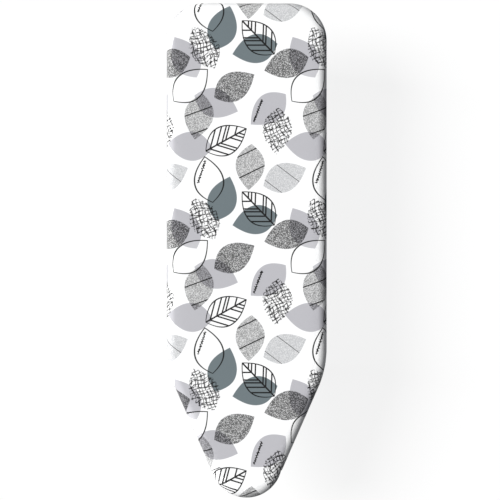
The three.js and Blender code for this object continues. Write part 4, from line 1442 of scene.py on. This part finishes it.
def finish_frame_part(node, material, edge):
    """Gives a part of the frame its material and slightly rounded edges."""
    part = frame["nodes"][node]
    for slot in part.material_slots:
        slot.material = material
    weld = part.modifiers.new("join facets", "WELD")
    weld.merge_threshold = TOUCHING
    rounding = part.modifiers.new("rounded edges", "BEVEL")
    rounding.width = edge
    rounding.segments = 2
    rounding.limit_method = "ANGLE"
    rounding.angle_limit = CREASE
    shade_hard_part(part)


CORNERS = [f"{end_name}_{hand}" for end_name in ("front", "rear") for hand in ("left", "right")]
FINISHES = {  # the material, and how far the edges are rounded
    "perforated_sheet": (powder_coat, 0.0002),
    "nose_frame_tube": (powder_coat, 0.0002),
    "heel_frame_tube": (powder_coat, 0.0002),
    **{f"{name}_rail": (powder_coat, 0.0004) for name in ("nose", "front", "middle", "rear", "heel")},
    **{f"{corner}_hinge_bracket": (powder_coat, 0.0004) for corner in CORNERS},
    **{f"{corner}_foot": (grey_rubber, 0.0007) for corner in CORNERS},
    "storage_clip": (grey_plastic, 0.0004),
    "left_bail_clip": (zinc_steel, 0.0003),
    "right_bail_clip": (zinc_steel, 0.0003),
}
for node, (material, edge) in FINISHES.items():
    finish_frame_part(node, material, edge)
for piece in list(scene.objects):
    if piece.name.endswith("_turned"):
        shade_hard_part(piece)
print("frame parts finished:", len(FINISHES))

# %% [markdown]
# Each leg is drawn upright with its pivot at the origin's height, then leaned and moved to its hinge.
# Where the hinge and the foot bar are comes from the frame: from a pin's box and a foot's box.

# %% Legs
FOOT_RADIUS = 0.0075  # of the rubber round the bar
PIN_HOLE = 0.0028  # radius


def bore(piece, centre, radius, depth):
    """Cuts a round hole along X through a piece."""
    cutter_mesh = bpy.data.meshes.new("cutter")
    cutting = bmesh.new()
    lay = Matrix.Translation(centre) @ Matrix.Rotation(math.pi / 2, 4, "Y")
    bmesh.ops.create_cone(
        cutting, cap_ends=True, segments=32, radius1=radius, radius2=radius, depth=depth, matrix=lay
    )
    cutting.to_mesh(cutter_mesh)
    cutting.free()
    cutter = bpy.data.objects.new("cutter", cutter_mesh)
    scene.collection.objects.link(cutter)
    cut = piece.modifiers.new("bore", "BOOLEAN")
    cut.operation = "DIFFERENCE"
    cut.solver = "EXACT"
    cut.object = cutter
    bpy.context.view_layer.update()
    bored = bpy.data.meshes.new_from_object(
        piece.evaluated_get(bpy.context.evaluated_depsgraph_get())
    )
    piece.modifiers.remove(cut)
    piece.data = bored
    bpy.data.objects.remove(cutter)


for end_name in ("front", "rear"):
    pin_low, pin_high = box_of(f"{end_name}_left_pivot_pin")
    foot_low, foot_high = box_of(f"{end_name}_left_foot")
    pivot = (pin_low + pin_high) / 2
    bar = Vector((0, (foot_low.y + foot_high.y) / 2, foot_high.z - FOOT_RADIUS))
    reach = math.hypot(bar.y - pivot.y, bar.z - pivot.z)
    lean = math.atan2(bar.y - pivot.y, pivot.z - bar.z)
    bm = bmesh.new()
    flatten_lug(bm, leg_half(bm, reach))
    mirror_half(bm)
    place = Matrix.Translation((0, pivot.y, pivot.z)) @ Matrix.Rotation(lean, 4, "X")
    bmesh.ops.transform(bm, matrix=place, verts=bm.verts[:])
    leg = make_piece(f"{end_name}_bent_leg", bm, powder_coat)
    for hand in (-1, 1):
        bore(leg, (hand * HINGE_X, pivot.y, pivot.z), PIN_HOLE, 4 * TUBE)
    shade_hard_part(leg)
    stand_in(leg, f"{end_name}_leg_tube", f"{end_name}_leg")
    print(end_name, "leg: lean", round(math.degrees(lean), 1), "reach", round(reach, 4))

# %% [markdown]
# The bail is one piece of wire. Its ends turn outwards through the two clips under the heel rail.

# %% Hanging bail
WIRE = 0.002  # radius
BAIL_HALF = 0.024  # half the width of the loop
BAIL_REACH = 0.070
BAIL_BEND = 0.005
WIRE_SIDES = 20
WIRE_STEPS = 8

bail_low, bail_high = box_of("hanging_bail")
bail_end = bail_high.x
bail_axis = Vector((0, bail_low.y + WIRE + BAIL_REACH, (bail_low.z + bail_high.z) / 2))
bm = bmesh.new()
sideways = Matrix.Translation((-bail_end, 0, 0)) @ Matrix.Rotation(math.pi / 2, 4, "Y")
first_ring = ring_of(bm, WIRE, WIRE_SIDES, sideways)
ring = run_ring(bm, first_ring, (bail_end - BAIL_HALF - BAIL_BEND, 0, 0))
ring = turn_ring(bm, ring, (-BAIL_HALF - BAIL_BEND, -BAIL_BEND, 0), (0, 0, -1), 90, WIRE_STEPS)
ring = run_ring(bm, ring, (0, 2 * BAIL_BEND - BAIL_REACH, 0))
centre = (BAIL_BEND - BAIL_HALF, BAIL_BEND - BAIL_REACH, 0)
ring = turn_ring(bm, ring, centre, (0, 0, 1), 90, WIRE_STEPS)
run_ring(bm, ring, (BAIL_HALF - BAIL_BEND, 0, 0))
cap = bmesh.ops.contextual_create(bm, geom=first_ring)["faces"]
bmesh.ops.inset_region(bm, faces=cap, thickness=0.0004, depth=0.0003)
mirror_half(bm)
bmesh.ops.translate(bm, verts=bm.verts[:], vec=bail_axis)
bail = make_piece("wire_bail", bm, zinc_steel)
shade_hard_part(bail)
stand_in(bail, "hanging_bail", "hanging_bail")
print("bail axis:", [round(value, 5) for value in bail_axis])
